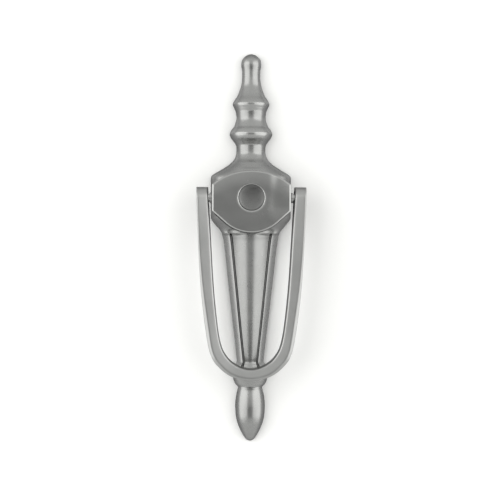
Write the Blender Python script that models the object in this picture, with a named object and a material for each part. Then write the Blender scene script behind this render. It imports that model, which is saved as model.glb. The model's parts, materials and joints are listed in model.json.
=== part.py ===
"""Door knocker: a turned, hollow-backed plate, a viewer housing that carries two pivot pins, and a bail
that swings on them and strikes the foot of the plate.

Lengths are in millimetres until a mesh is made. X runs across, Z up the door, and the front faces -Y.
"Depth" is the distance out from the door face, which is the plane y = 0.
"""

import math

import bpy
import numpy as np
from mathutils import Vector

MM = 0.001
ROUND_SIDES = 24
GAP = 0.3
TIP_CUT = 0.012

# Outline of the plate: (height, half width), feature by feature from the top.
KNOB = ((100.1, 0.0), (98.8, 3.2), (96.9, 4.82), (94.6, 5.2), (91.5, 4.75), (88.4, 4.68))
RING_UPPER = ((84.3, 5.1), (80.2, 6.35), (78.1, 7.27), (76.0, 8.65), (74.0, 9.52), (71.9, 8.68),
              (69.9, 7.85), (67.0, 7.56))
RING_LOWER = ((62.6, 8.75), (60.6, 10.25), (58.5, 11.05), (56.5, 10.3), (54.4, 8.7), (52.3, 7.6), (49.4, 7.48))
SHOULDER = ((46.1, 8.33), (43.0, 11.05), (39.9, 15.65), (37.6, 19.5), (36.6, 20.55), (35.4, 20.75),
            (15.4, 20.7))
BODY = ((14.5, 20.4), (11.0, 17.75), (9.0, 15.95), (6.9, 14.85), (2.8, 13.95), (-13.7, 12.0), (-57.1, 7.1))
FOOT = ((-59.0, 6.95), (-61.1, 8.3), (-64.5, 9.3), (-67.5, 8.9), (-70.5, 7.8), (-71.9, 6.5), (-72.4, 6.15))
ACORN = ((-72.9, 6.3), (-73.6, 6.52), (-76.6, 7.2), (-79.2, 7.53), (-81.8, 7.68), (-86.0, 7.5),
         (-90.1, 6.75), (-94.2, 5.15), (-97.4, 3.42), (-98.9, 2.4), (-100.1, 0.0))
OUTLINE = KNOB + RING_UPPER + RING_LOWER + SHOULDER + BODY + FOOT + ACORN

# How far the plate's crown may stand out where it isn't simply turned: (height, depth).
CROWN_LIMIT = ((100.1, 14.0), (52.0, 14.0), (46.5, 12.3), (43.0, 12.9), (41.0, 14.0), (39.0, 15.2),
               (36.0, 16.8), (33.0, 18.0), (30.0, 18.4), (17.0, 18.0), (14.5, 16.5), (11.5, 12.8),
               (9.5, 10.6), (8.4, 10.1), (7.4, 10.0), (5.9, 9.92), (5.0, 9.78), (4.2, 9.65), (3.2, 9.6),
               (-57.0, 8.6), (-59.0, 8.35), (-61.0, 8.9), (-63.8, 9.9), (-65.5, 9.8), (-68.0, 9.1),
               (-70.3, 8.35), (-71.6, 8.1), (-72.1, 8.3), (-72.5, 12.0), (-100.1, 12.0))
TURNED_BASE = 1.8
CROWN_BLEND = 1.0
RIM_DEPTH = ((100.1, 1.6), (48.0, 1.9), (33.0, 2.4), (17.0, 2.4), (8.0, 2.2), (-50.0, 2.0), (-60.0, 2.2),
             (-68.0, 2.1), (-100.1, 1.6))
RIM_BACK = 1.0
WALL = 2.4

# Ribbed body: two grooves part the centre column from the rails.
GROOVE_TOP, GROOVE_START = 7.4, 6.0
GROOVE_END, GROOVE_FADED = -61.3, -63.4
GROOVE_OUTER = ((3.0, 10.5), (-59.0, 4.05))
COLUMN_EDGE = ((3.0, 9.1), (-59.0, 2.8))
GROOVE_FLOOR = 5.0
COLUMN_SLOPE = ((3.0, 0.54), (-59.0, 0.32))
COLUMN_ROUND = ((3.0, 0.63), (-59.0, 0.33))
RAIL_SLOPE_OUT, RAIL_SLOPE_IN = 1.6, 0.85

# Housing
BOSS_HALF_WIDTH = 20.0
BOSS_CORNER_TOP, BOSS_CORNER_BOTTOM = 32.0, 18.4
BOSS_APEX_TOP = 39.0
BOSS_BOTTOM_RADIUS, BOSS_BOTTOM_TURN = 20.2, 42.6
BOSS_APEX_BOTTOM = 7.5
BOSS_BACK, BOSS_FRONT = 9.0, 21.0
BOSS_CHAMFER = 0.7
# The housing's face falls back towards its top arc and its sides: (how far, over what reach).
FACE_FALL_TOP, FACE_FALL_SIDE = (0.62, 8.0), (0.2, 8.0)
FACE_SHARES = (0.0, 0.13, 0.28, 0.44, 0.62)
SEAT_DEPTH = 8.7

# Viewer opening, its blank and its clip
VIEWER_Z = 25.3
VIEWER_RADIUS, VIEWER_CHAMFER = 6.45, 0.5
BLANK_RADIUS, BLANK_FRONT, BLANK_THICK, BLANK_DISH = 6.15, 20.3, 1.9, 0.6
STEM_RADIUS, STEM_END = 3.0, 4.2
CLIP_RADIUS, CLIP_FRONT, CLIP_BACK = 7.8, 5.6, 4.9

# Pivot
PIVOT_Z, PIVOT_DEPTH = 25.2, 15.0
PIN_RADIUS, PIN_INNER, PIN_OUTER = 2.0, 10.0, 25.9
SPACER_RADIUS, SPACER_INNER, SPACER_OUTER = 2.6, 20.3, 21.3
BUSH_RADIUS, BUSH_BORE, BUSH_INNER, BUSH_OUTER = 3.0, 2.08, 22.1, 26.2
GRUB_X, GRUB_RADIUS = 14.5, 1.5

# Bail: half widths of its outer and inner edge by height.
BAIL_OUTER = ((31.0, 28.0), (24.0, 27.8), (3.7, 27.0), (-16.5, 25.9), (-26.6, 25.0), (-36.8, 23.8),
              (-46.9, 22.3), (-51.9, 21.3), (-57.0, 19.4), (-61.0, 16.2), (-65.1, 10.9), (-67.7, 0.0))
BAIL_INNER = ((31.0, 22.0), (24.0, 21.6), (3.7, 20.4), (-16.5, 19.2), (-36.8, 17.3), (-46.9, 15.8),
              (-51.9, 14.3), (-57.0, 10.9), (-59.0, 8.4), (-61.8, 0.0))
BAIL_CHAMFER = ((31.0, 0.45), (5.0, 0.5), (-20.0, 1.1), (-45.0, 1.7), (-60.0, 1.5), (-67.7, 1.0))
BAIL_INNER_CHAMFER, BAIL_DRAFT = 0.6, 0.45
BAIL_FRONT = 20.5
# The bail's face leans in towards its inner edge, by this slope at its outer side and more further in.
BAIL_LEAN, BAIL_LEAN_GAIN = 0.165, 0.0035
BAIL_BACK = ((25.2, 9.5), (12.0, 11.9), (0.0, 12.0), (-67.7, 12.0))
EYE_RADIUS = 5.5
EYE_ANGLES = (87, 75, 61, 46, 31, 15)

# Strike
STRIKE_Z = -65.3
PAD_RADIUS, PAD_BACK, PAD_FRONT = 2.6, 8.2, 10.3
STUD_RADIUS, STUD_SHANK, STUD_TIP, STUD_END = 2.2, 1.2, 10.6, 15.5

# Fixings
SCREW_HEIGHTS = {"upper": 36.0, "lower": 13.6}
SCREW_HEAD, SCREW_SHANK, SCREW_END = 2.6, 1.5, 14.4
POCKET_ROOF = SEAT_DEPTH - WALL
INSERTS = {"upper": (48.8, 6.6), "lower": (-66.2, 4.6)}
INSERT_RADIUS, INSERT_BORE = 3.3, 2.1
GASKET_INSET, GASKET_THICK = 0.6, 0.7

COLOURS = {
    "satin": ((0.40, 0.40, 0.39, 1.0), 1.0, 0.36),
    "satin_bail": ((0.42, 0.42, 0.41, 1.0), 1.0, 0.38),
    "steel": ((0.55, 0.55, 0.54, 1.0), 1.0, 0.25),
    "dark_blank": ((0.20, 0.20, 0.20, 1.0), 1.0, 0.42),
    "spring_steel": ((0.16, 0.16, 0.17, 1.0), 1.0, 0.45),
    "brass": ((0.62, 0.46, 0.20, 1.0), 1.0, 0.35),
    "zinc_screw": ((0.60, 0.60, 0.56, 1.0), 1.0, 0.32),
    "acetal": ((0.05, 0.05, 0.05, 1.0), 0.0, 0.45),
    "foam": ((0.03, 0.03, 0.03, 1.0), 0.0, 0.9),
}


def smooth_curve(stations):
    """A smooth function through (position, value) stations that never overshoots them."""
    at, value = np.array(sorted(stations), float).T
    step = np.diff(at)
    slope = np.diff(value) / step
    tangent = np.zeros(len(at))
    product = slope[:-1] * slope[1:]
    total = np.where(product > 0, slope[:-1] + slope[1:], 1.0)
    tangent[1:-1] = np.where(product > 0, 2 * product / total, 0.0)
    tangent[0], tangent[-1] = slope[0], slope[-1]

    def read(where):
        k = int(np.clip(np.searchsorted(at, where) - 1, 0, len(step) - 1))
        t = float(np.clip((where - at[k]) / step[k], 0.0, 1.0))
        start = (1 + 2 * t) * (1 - t) ** 2 * value[k] + t * (1 - t) ** 2 * step[k] * tangent[k]
        end = t * t * (3 - 2 * t) * value[k + 1] + t * t * (t - 1) * step[k] * tangent[k + 1]
        return start + end

    return read


def round_ended(stations):
    """The same for a half width that closes on a rounded tip: its square is what runs smoothly."""
    squared = smooth_curve([(at, width * width) for at, width in stations])
    return lambda where: math.sqrt(max(squared(where), 0.0))


def ramp(start, end, value):
    t = min(max((value - start) / (end - start), 0.0), 1.0)
    return t * t * (3 - 2 * t)


def line(ends, where):
    (a, low), (b, high) = ends
    t = min(max((where - a) / (b - a), 0.0), 1.0)
    return low + (high - low) * t


outline = round_ended(OUTLINE)
crown_limit = smooth_curve(CROWN_LIMIT)
rim_depth = smooth_curve(RIM_DEPTH)
bail_outer = round_ended(BAIL_OUTER)
bail_inner = round_ended(BAIL_INNER)
bail_chamfer = smooth_curve(BAIL_CHAMFER)
bail_back = smooth_curve(BAIL_BACK)


def crown(z):
    turned, limit = outline(z) + TURNED_BASE, crown_limit(z)
    return 0.5 * (turned + limit - math.hypot(turned - limit, CROWN_BLEND))


def ribbing(z):
    """0 where the plate is turned or plain, 1 where its grooves are full."""
    return ramp(GROOVE_TOP, GROOVE_START, z) * (1 - ramp(GROOVE_END, GROOVE_FADED, z))


def groove_fractions(z):
    """Where the column ends and the rail starts, as fractions of the half width."""
    inside = min(max(z, -59.0), 3.0)
    return line(COLUMN_EDGE, inside) / outline(inside), line(GROOVE_OUTER, inside) / outline(inside)


def column_fall(z, x, half):
    """How far the column has fallen at x from its ridge: round there, nearly straight at its flanks."""
    inside = min(max(z, -59.0), 3.0)
    ridge = half * line(COLUMN_ROUND, inside)
    return line(COLUMN_SLOPE, inside) * (math.hypot(x, ridge) - ridge)


def rail_rise(width, share):
    """How far a rail has risen from the rim at a share of its width, its slope easing off inwards."""
    return width * (RAIL_SLOPE_OUT * share + (RAIL_SLOPE_IN - RAIL_SLOPE_OUT) * share * share / 2)


def front_depth(z, u):
    """Depth of the plate's front at height z and fraction u of its half width."""
    u = min(abs(u), 1.0)
    rim, top, ribbed = rim_depth(z), crown(z), ribbing(z)
    turned = rim + (top - rim) * math.sqrt(1 - u * u)
    if ribbed == 0.0:
        return turned
    column, rail = groove_fractions(z)
    if u <= column:
        shaped = top - column_fall(z, u * outline(z), column * outline(z))
    elif u < rail:
        shaped = GROOVE_FLOOR
    else:
        shaped = rim + rail_rise(outline(z) * (1 - rail), (1 - u) / (1 - rail))
    return turned + (shaped - turned) * ribbed


def across(z, column_steps, rail_steps):
    """Fractions of the half width at which a section is sampled, from the centre out."""
    column, rail = groove_fractions(z)
    width = rail - column
    inner = [column * k / column_steps for k in range(column_steps + 1)]
    groove = [column + 0.3 * width, column + 0.7 * width]
    start = math.asin(rail)
    turn = [start + (math.pi / 2 - start) * k / rail_steps for k in range(rail_steps + 1)]
    return inner + groove + [math.sin(a) for a in turn]


def material(kind):
    found = bpy.data.materials.get(kind)
    if found:
        return found
    made = bpy.data.materials.new(kind)
    made.use_nodes = True
    shader = made.node_tree.nodes["Principled BSDF"]
    colour, metallic, roughness = COLOURS[kind]
    shader.inputs["Base Color"].default_value = colour
    shader.inputs["Metallic"].default_value = metallic
    shader.inputs["Roughness"].default_value = roughness
    made.diffuse_color = colour
    return made


def solid(name, points, faces, kind=None, smooth=True):
    """An object from points in millimetres. One without a material is a cutter and stays out of renders."""
    mesh = bpy.data.meshes.new(name)
    mesh.from_pydata([tuple(c * MM for c in p) for p in points], [], faces)
    mesh.validate()
    made = bpy.data.objects.new(name, mesh)
    bpy.context.scene.collection.objects.link(made)
    if kind:
        mesh.materials.append(material(kind))
    else:
        made.hide_render = True
        made.display_type = "WIRE"
    if smooth:
        mesh.shade_smooth()
        mesh.set_sharp_from_angle(angle=math.radians(35))
    return made


def loft(name, rings, kind=None, smooth=True):
    """A closed solid through rings of equal point counts. The rings wind so that the faces point out."""
    count = len(rings[0])
    points = [p for ring in rings for p in ring]
    faces = []
    for r in range(len(rings) - 1):
        for k in range(count):
            a, b = r * count + k, r * count + (k + 1) % count
            faces.append((a, b, b + count, a + count))
    last = (len(rings) - 1) * count
    faces.append(tuple(reversed(range(count))))
    faces.append(tuple(range(last, last + count)))
    made = solid(name, points, faces, kind, smooth)
    face_out(made)
    return made


def face_out(made):
    """Turns every face outwards by the sign of the enclosed volume."""
    mesh = made.data
    volume = 0.0
    for polygon in mesh.polygons:
        corners = [mesh.vertices[i].co for i in polygon.vertices]
        for k in range(1, len(corners) - 1):
            volume += corners[0].dot(corners[k].cross(corners[k + 1]))
    if volume < 0:
        mesh.flip_normals()


def turned(name, profile, centre, axis, kind=None, sides=ROUND_SIDES):
    """A solid of revolution from (radius, position) points. A profile off the axis closes into a ring."""
    directions = {"X": (1, 2, 0), "Y": (0, 2, 1)}
    across_a, across_b, along = directions[axis]
    rings, faces, points = [], [], []
    for radius, position in profile:
        ring = []
        for k in range(sides if radius > 0 else 1):
            angle = 2 * math.pi * (k + 0.5) / sides
            point = [0.0, 0.0, 0.0]
            point[across_a] = centre[across_a] + radius * math.cos(angle)
            point[across_b] = centre[across_b] + radius * math.sin(angle)
            point[along] = position
            ring.append(len(points))
            points.append(tuple(point))
        rings.append(ring)
    closed = profile[0][0] > 0
    pairs = list(zip(rings, rings[1:] + rings[:1])) if closed else list(zip(rings, rings[1:]))
    for low, high in pairs:
        for k in range(sides):
            n = (k + 1) % sides
            corners = [low[k % len(low)], low[n % len(low)], high[n % len(high)], high[k % len(high)]]
            faces.append(tuple(dict.fromkeys(corners)))
    made = solid(name, points, faces, kind)
    face_out(made)
    return made


def rod(name, radius, start, end, centre, axis, kind=None, chamfer=0.0, sides=ROUND_SIDES):
    """A plain or chamfered cylinder between two positions on its axis."""
    step = chamfer if end > start else -chamfer
    profile = [(0, start), (radius - chamfer, start)]
    if chamfer:
        profile += [(radius, start + step), (radius, end - step)]
    profile += [(radius - chamfer, end), (0, end)]
    return turned(name, profile, centre, axis, kind, sides)


def cut(target, cutter):
    modifier = target.modifiers.new("cut_" + cutter.name, "BOOLEAN")
    modifier.operation = "DIFFERENCE"
    modifier.solver = "EXACT"
    modifier.object = cutter
    return modifier


def plate_ring(z, steps):
    """One section of the plate: round the front from the left rim to the right, then across the flat back."""
    width = outline(z)
    half = [(width * u, front_depth(z, u)) for u in steps(z)]
    front = [(-x, -depth, z) for x, depth in reversed(half[1:])] + [(x, -depth, z) for x, depth in half]
    return front + [(width, -RIM_BACK, z), (-width, -RIM_BACK, z)]


def tip_heights(tip, inner, count):
    """Heights that crowd towards a rounded tip, the first a hair inside it."""
    first = tip - math.copysign(TIP_CUT, tip)
    return [first] + [tip + (inner - tip) * (k / count) ** 2 for k in range(1, count)]


def even_heights(top, bottom, step):
    count = max(1, round(abs(top - bottom) / step))
    return [top + (bottom - top) * k / count for k in range(count)]


def plate_heights():
    """Heights of the plate's sections, closest where its profile turns fastest."""
    found = tip_heights(100.1, 94.6, 6)
    for top, bottom, step in (
        (94.6, 80.0, 3.0), (80.0, 50.0, 1.7), (50.0, 36.6, 1.9), (36.6, 15.4, 10.0), (15.4, 7.6, 2.0),
        (7.6, 5.2, 0.8), (5.2, 2.8, 1.2), (2.8, -57.0, 10.0), (-57.0, -62.0, 1.0), (-62.0, -72.4, 1.75),
        (-72.4, -77.0, 1.5), (-77.0, -92.0, 3.0),
    ):
        found += even_heights(top, bottom, step)
    return found + [-92.0] + tip_heights(-100.1, -92.0, 6)[::-1]


def pocket(name, top, bottom, step):
    """A cutter that hollows the plate's back between two heights and leaves a wall all round."""
    rings = []
    for z in even_heights(top, bottom, step) + [bottom]:
        width = max(outline(z) - WALL, 1.6)
        roof = crown(z)
        if BOSS_APEX_BOTTOM - 2 < z < BOSS_APEX_TOP + 3:
            roof = min(roof, SEAT_DEPTH)
        ribbed = ribbing(z)
        column = groove_fractions(z)[0] * outline(z) * 0.94
        arch = width * 0.96 + (min(column, width * 0.96) - width * 0.96) * ribbed
        top_depth = roof - WALL
        edge = rim_depth(z) + (GROOVE_FLOOR - 1.8 - rim_depth(z)) * ribbed
        edge = min(edge, top_depth - 0.8)
        ring = [(-width, 2.0, z), (-width, -edge, z)]
        for k in range(9):
            u = -1 + k / 4
            ring.append((arch * u, -(edge + (top_depth - edge) * math.sqrt(1 - u * u)), z))
        ring += [(width, -edge, z), (width, 2.0, z)]
        rings.append(ring)
    return loft(name, rings)


def boss_outline(grow=0.0):
    """The housing's outline in (x, z), clockwise from the lower right corner, grown outwards."""
    half = BOSS_HALF_WIDTH + grow
    points = [(half, BOSS_CORNER_BOTTOM - 0.4 * grow), (half, BOSS_CORNER_TOP + 0.4 * grow)]
    rise = BOSS_APEX_TOP - BOSS_CORNER_TOP
    radius = (BOSS_HALF_WIDTH**2 + rise**2) / (2 * rise)
    edge = math.asin(BOSS_HALF_WIDTH / radius)
    for k in range(1, 12):
        angle = edge * (1 - k / 6)
        reach = radius + grow
        points.append((reach * math.sin(angle), BOSS_APEX_TOP - radius + reach * math.cos(angle)))
    points += [(-half, BOSS_CORNER_TOP + 0.4 * grow), (-half, BOSS_CORNER_BOTTOM - 0.4 * grow)]
    turn = math.radians(BOSS_BOTTOM_TURN)
    for k in range(9):
        angle = -turn + turn * k / 4
        reach = BOSS_BOTTOM_RADIUS + grow
        centre = BOSS_APEX_BOTTOM + BOSS_BOTTOM_RADIUS
        points.append((reach * math.sin(angle), centre - reach * math.cos(angle)))
    return points


def inset(points, distance):
    """The outline moved in by a distance along the normals at its corners."""
    found = []
    for k, (x, z) in enumerate(points):
        before, after = points[k - 1], points[(k + 1) % len(points)]
        a = Vector((x - before[0], z - before[1])).normalized()
        b = Vector((after[0] - x, after[1] - z)).normalized()
        normal = Vector((-(a.y + b.y), a.x + b.x)).normalized()
        stretch = 1 / max(normal.dot(Vector((-a.y, a.x))), 0.5)
        found.append((x + normal.x * distance * stretch, z + normal.y * distance * stretch))
    return found


def build_plate():
    steps = lambda z: across(z, 4, 5)
    plate = loft("backplate", [plate_ring(z, steps) for z in plate_heights()], "satin")
    cutters = [
        pocket("pocket_rings", 88.0, 54.5, 2.4),
        pocket("pocket_body", 42.0, -55.0, 4.4),
        pocket("pocket_acorn", -76.0, -91.0, 3.0),
        loft("seat", [[(x, -depth, z) for x, z in boss_outline(GAP)] for depth in (SEAT_DEPTH, 30.0)]),
        rod("viewer_hole", VIEWER_RADIUS + GAP, 1.0, -14.0, (0, 0, VIEWER_Z), "Y", sides=32),
        rod("pad_recess", PAD_RADIUS + GAP, -PAD_BACK, -20.0, (0, 0, STRIKE_Z), "Y"),
    ]
    for name, z in SCREW_HEIGHTS.items():
        cutters.append(rod("screw_hole_" + name, SCREW_SHANK + GAP, -2.0, -14.0, (0, 0, z), "Y", sides=16))
    for name, (z, length) in INSERTS.items():
        end = -(RIM_BACK + GAP + length + GAP)
        cutters.append(rod("insert_hole_" + name, INSERT_RADIUS + GAP, 1.0, end, (0, 0, z), "Y"))
    for cutter in cutters:
        cut(plate, cutter)
    return plate


def face_drop(x, z):
    """How far the housing's face has fallen back at a point."""
    arc = BOSS_APEX_TOP - (BOSS_APEX_TOP - BOSS_CORNER_TOP) * (x / BOSS_HALF_WIDTH) ** 2
    drop = 0.0
    for inside, (fall, reach) in ((arc - z, FACE_FALL_TOP), (BOSS_HALF_WIDTH - abs(x), FACE_FALL_SIDE)):
        drop += fall * max(0.0, 1 - inside / reach) ** 2
    return drop


def build_boss():
    outer = boss_outline()
    rings = [[(x, -BOSS_BACK, z) for x, z in outer]]
    face = inset(outer, BOSS_CHAMFER)
    edge = [face_drop(x, z) - BOSS_FRONT for x, z in face]
    rings.append([(x, y + BOSS_CHAMFER * 0.65, z) for (x, z), y in zip(outer, edge)])
    for share in FACE_SHARES:
        scaled = [(x * (1 - share), z + (VIEWER_Z - z) * share) for x, z in face]
        rings.append([(x, face_drop(x, z) - BOSS_FRONT, z) for x, z in scaled])
    boss = loft("boss_housing", rings, "satin")
    mouth = VIEWER_RADIUS + VIEWER_CHAMFER
    bore = [(0, -2.0), (VIEWER_RADIUS, -2.0), (VIEWER_RADIUS, -(BOSS_FRONT - VIEWER_CHAMFER))]
    bore += [(mouth, -BOSS_FRONT), (mouth, -30.0), (0, -30.0)]
    cut(boss, turned("viewer_bore", bore, (0, 0, VIEWER_Z), "Y", sides=40))
    for side, sign in (("left", -1), ("right", 1)):
        centre = (0, -PIVOT_DEPTH, PIVOT_Z)
        start, end = sign * (PIN_INNER - GAP), sign * 24.0
        cut(boss, rod("pin_bore_" + side, PIN_RADIUS + GAP, start, end, centre, "X"))
        grub = (sign * GRUB_X, 0, PIVOT_Z)
        cut(boss, rod("grub_hole_" + side, GRUB_RADIUS + GAP, -2.0, -PIVOT_DEPTH, grub, "Y", sides=16))
    for name, z in SCREW_HEIGHTS.items():
        end = -(SCREW_END + GAP)
        cut(boss, rod("boss_tap_" + name, SCREW_SHANK + GAP, -2.0, end, (0, 0, z), "Y", sides=16))
    return boss


def build_viewer():
    front, back = -BLANK_FRONT, -(BLANK_FRONT - BLANK_THICK)
    dish = [(0, front + BLANK_DISH), (2.9, front + BLANK_DISH * 0.75), (BLANK_RADIUS - 0.5, front)]
    lip = dish + [(BLANK_RADIUS - 0.3, front), (BLANK_RADIUS, front + 0.3), (BLANK_RADIUS, back)]
    stem = [(STEM_RADIUS, back), (STEM_RADIUS, -STEM_END - 0.4)]
    stem += [(STEM_RADIUS - 0.4, -STEM_END), (0, -STEM_END)]
    turned("viewer_blank", lip + stem, (0, 0, VIEWER_Z), "Y", "dark_blank", 32)
    hole = STEM_RADIUS + GAP
    ring = [(CLIP_RADIUS, -CLIP_FRONT), (CLIP_RADIUS, -CLIP_BACK), (hole, -CLIP_BACK), (hole, -CLIP_FRONT)]
    turned("viewer_clip", ring, (0, 0, VIEWER_Z), "Y", "spring_steel")


def build_pivot(side, sign):
    centre = (0, -PIVOT_DEPTH, PIVOT_Z)
    rod("pivot_pin_" + side, PIN_RADIUS, sign * PIN_INNER, sign * PIN_OUTER, centre, "X", "steel", 0.3)
    ends = sign * SPACER_INNER, sign * SPACER_OUTER
    hole = PIN_RADIUS + GAP
    collar = [(SPACER_RADIUS, ends[0]), (SPACER_RADIUS, ends[1]), (hole, ends[1]), (hole, ends[0])]
    turned("pivot_spacer_" + side, collar, centre, "X", "steel")
    tip = -(PIVOT_DEPTH - PIN_RADIUS - GAP)
    grub = (sign * GRUB_X, 0, PIVOT_Z)
    rod("pin_grub_" + side, GRUB_RADIUS, -BOSS_BACK - 0.2, tip, grub, "Y", "zinc_screw", 0.3, 16)


def build_screws():
    for name, z in SCREW_HEIGHTS.items():
        head, under = -(POCKET_ROOF - GAP - 2.0), -(POCKET_ROOF - GAP)
        profile = [(0, head), (SCREW_HEAD - 0.6, head), (SCREW_HEAD, head - 0.6), (SCREW_HEAD, under)]
        profile += [(SCREW_SHANK, under), (SCREW_SHANK, -SCREW_END + 0.4), (SCREW_SHANK - 0.4, -SCREW_END)]
        turned("boss_screw_" + name, profile + [(0, -SCREW_END)], (0, 0, z), "Y", "zinc_screw", 20)


def build_inserts():
    for name, (z, length) in INSERTS.items():
        start, end = -(RIM_BACK + GAP), -(RIM_BACK + GAP + length)
        ring = [(INSERT_RADIUS, start), (INSERT_RADIUS, end), (INSERT_BORE, end), (INSERT_BORE, start)]
        turned("insert_" + name, ring, (0, 0, z), "Y", "brass")


def bail_half(width, apex, join, arm_heights, bend_steps):
    """Points (x, z) of one edge of the bail, from the top of its right eye down to its middle."""
    arm = [(width(z), z) for z in arm_heights]
    fine = [apex + (join - apex) * (1 - k / 200) ** 2 for k in range(201)]
    run = [(width(z), z) for z in fine]
    length = np.cumsum([0.0] + [math.dist(a, b) for a, b in zip(run, run[1:])])
    wanted = np.linspace(0, length[-1], bend_steps + 1)
    across, down = [p[0] for p in run], [p[1] for p in run]
    bend = [(float(np.interp(s, length, across)), float(np.interp(s, length, down)))
            for s in wanted]
    return arm + bend


def bail_ring(outer, inner):
    """The bail's section between an outer and an inner point, seen from its back outer corner round."""
    z = outer[1]
    back, front = bail_back(min(z, PIVOT_Z)), BAIL_FRONT
    if z > PIVOT_Z:
        reach = math.sqrt(EYE_RADIUS**2 - (z - PIVOT_Z) ** 2)
        back, front = PIVOT_DEPTH - reach, PIVOT_DEPTH + reach
    scale = min(1.0, (front - back) / (2 * EYE_RADIUS))
    way = Vector((inner[0] - outer[0], inner[1] - outer[1])).normalized()

    def at(point, shift, depth):
        return (point[0] + way.x * shift, -depth, point[1] + way.y * shift)

    chamfer, inside = bail_chamfer(z), BAIL_INNER_CHAMFER
    ease = 0.5
    span = math.dist(outer, inner) - chamfer - BAIL_DRAFT - inside
    low = front - span * (BAIL_LEAN + BAIL_LEAN_GAIN * span) * scale
    return [
        at(outer, ease, back),
        at(outer, 0, back + ease * scale),
        at(outer, 0, front - chamfer * 0.8 * scale),
        at(outer, chamfer, front),
        at(inner, -BAIL_DRAFT - inside, low),
        at(inner, -BAIL_DRAFT, low - inside * 0.9 * scale),
        at(inner, 0, back + ease * scale),
        at(inner, -ease, back),
    ]


def build_bail():
    round_top = [PIVOT_Z + EYE_RADIUS * math.sin(math.radians(a)) for a in EYE_ANGLES]
    arm_heights = round_top + [PIVOT_Z, 20.0, 12.0, 2.0, -9.0]
    join = -18.0
    outer = bail_half(bail_outer, -67.7, join, arm_heights, 12)
    inner = bail_half(bail_inner, -61.8, join, arm_heights, 12)
    right = [bail_ring(o, i) for o, i in zip(outer, inner)]
    left = [[(-x, y, z) for x, y, z in ring] for ring in reversed(right[:-1])]
    bail = loft("bail", right + left, "satin_bail")
    cutters = []
    for side, sign in (("left", -1), ("right", 1)):
        centre = (0, -PIVOT_DEPTH, PIVOT_Z)
        start, end = sign * 15.0, sign * (BUSH_OUTER + GAP)
        cutters.append(rod("bush_hole_" + side, BUSH_RADIUS + GAP, start, end, centre, "X"))
    end = -(STUD_END + GAP)
    cutters.append(rod("stud_hole", STUD_SHANK + GAP, -5.0, end, (0, 0, STRIKE_Z), "Y", sides=16))
    for cutter in cutters:
        cut(bail, cutter)
    return bail


def build_bushes():
    made = []
    for side, sign in (("left", -1), ("right", 1)):
        ends = sign * BUSH_INNER, sign * BUSH_OUTER
        ring = [(BUSH_RADIUS, ends[0]), (BUSH_RADIUS, ends[1]), (BUSH_BORE, ends[1]), (BUSH_BORE, ends[0])]
        made.append(turned("bail_bush_" + side, ring, (0, -PIVOT_DEPTH, PIVOT_Z), "X", "acetal"))
    return made


def build_strike():
    centre = (0, 0, STRIKE_Z)
    rod("strike_pad", PAD_RADIUS, -PAD_BACK - GAP, -PAD_FRONT, centre, "Y", "acetal", 0.3)
    under = -(12.0 - GAP)
    dome = [(0, -STUD_TIP), (STUD_RADIUS - 0.5, -STUD_TIP)]
    dome += [(STUD_RADIUS, -STUD_TIP - 0.4), (STUD_RADIUS, under)]
    shank = [(STUD_SHANK, under), (STUD_SHANK, -STUD_END), (0, -STUD_END)]
    return turned("striker_stud", dome + shank, centre, "Y", "steel", 20)


def build_gasket():
    heights = [z for z in plate_heights() if abs(z) < 99.0]
    rings = []
    for z in heights:
        width = outline(z) - GASKET_INSET
        rings.append([(-width, -GASKET_THICK, z), (width, -GASKET_THICK, z), (width, 0, z), (-width, 0, z)])
    gasket = loft("back_gasket", rings, "foam", smooth=False)
    holes = [("gasket_viewer", VIEWER_Z, VIEWER_RADIUS + 1.5)]
    holes += [("gasket_" + name, z, INSERT_RADIUS + 0.6) for name, (z, length) in INSERTS.items()]
    for name, z, radius in holes:
        cut(gasket, rod(name, radius, 3.0, -3.0, (0, 0, z), "Y"))
    return gasket


def hang(pieces, pivot):
    """Gives the swinging pieces their origin on the pivot axis, with the rest parented to the first."""
    origin = Vector(pivot) * MM
    for piece in pieces:
        for vertex in piece.data.vertices:
            vertex.co -= origin
        piece.location = origin
    for piece in pieces[1:]:
        piece.parent = pieces[0]
        piece.location = (0, 0, 0)


def hang_cutters(piece):
    """Carries a hung piece's cutters with it, so that they stay where they cut."""
    for modifier in piece.modifiers:
        cutter = modifier.object
        for vertex in cutter.data.vertices:
            vertex.co -= piece.location
        cutter.parent = piece


def main():
    for old in list(bpy.data.objects):
        bpy.data.objects.remove(old, do_unlink=True)
    build_plate()
    build_boss()
    build_viewer()
    for side, sign in (("left", -1), ("right", 1)):
        build_pivot(side, sign)
    build_screws()
    build_inserts()
    build_gasket()
    bail = build_bail()
    swinging = [bail, *build_bushes(), build_strike()]
    hang(swinging, (0, -PIVOT_DEPTH, PIVOT_Z))
    hang_cutters(bail)


main()
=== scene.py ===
"""Looks for the door knocker: finely modelled castings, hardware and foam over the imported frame, with
procedural finishes, a white wall, a pale floor and soft side light.

Lengths are in millimetres until a mesh is made. X runs across, Z up the door, and the front faces -Y.
"Depth" is the distance out from the door face, which is the plane y = 0.
"""

import json
import math

import bpy
import numpy as np
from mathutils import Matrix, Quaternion, Vector

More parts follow.
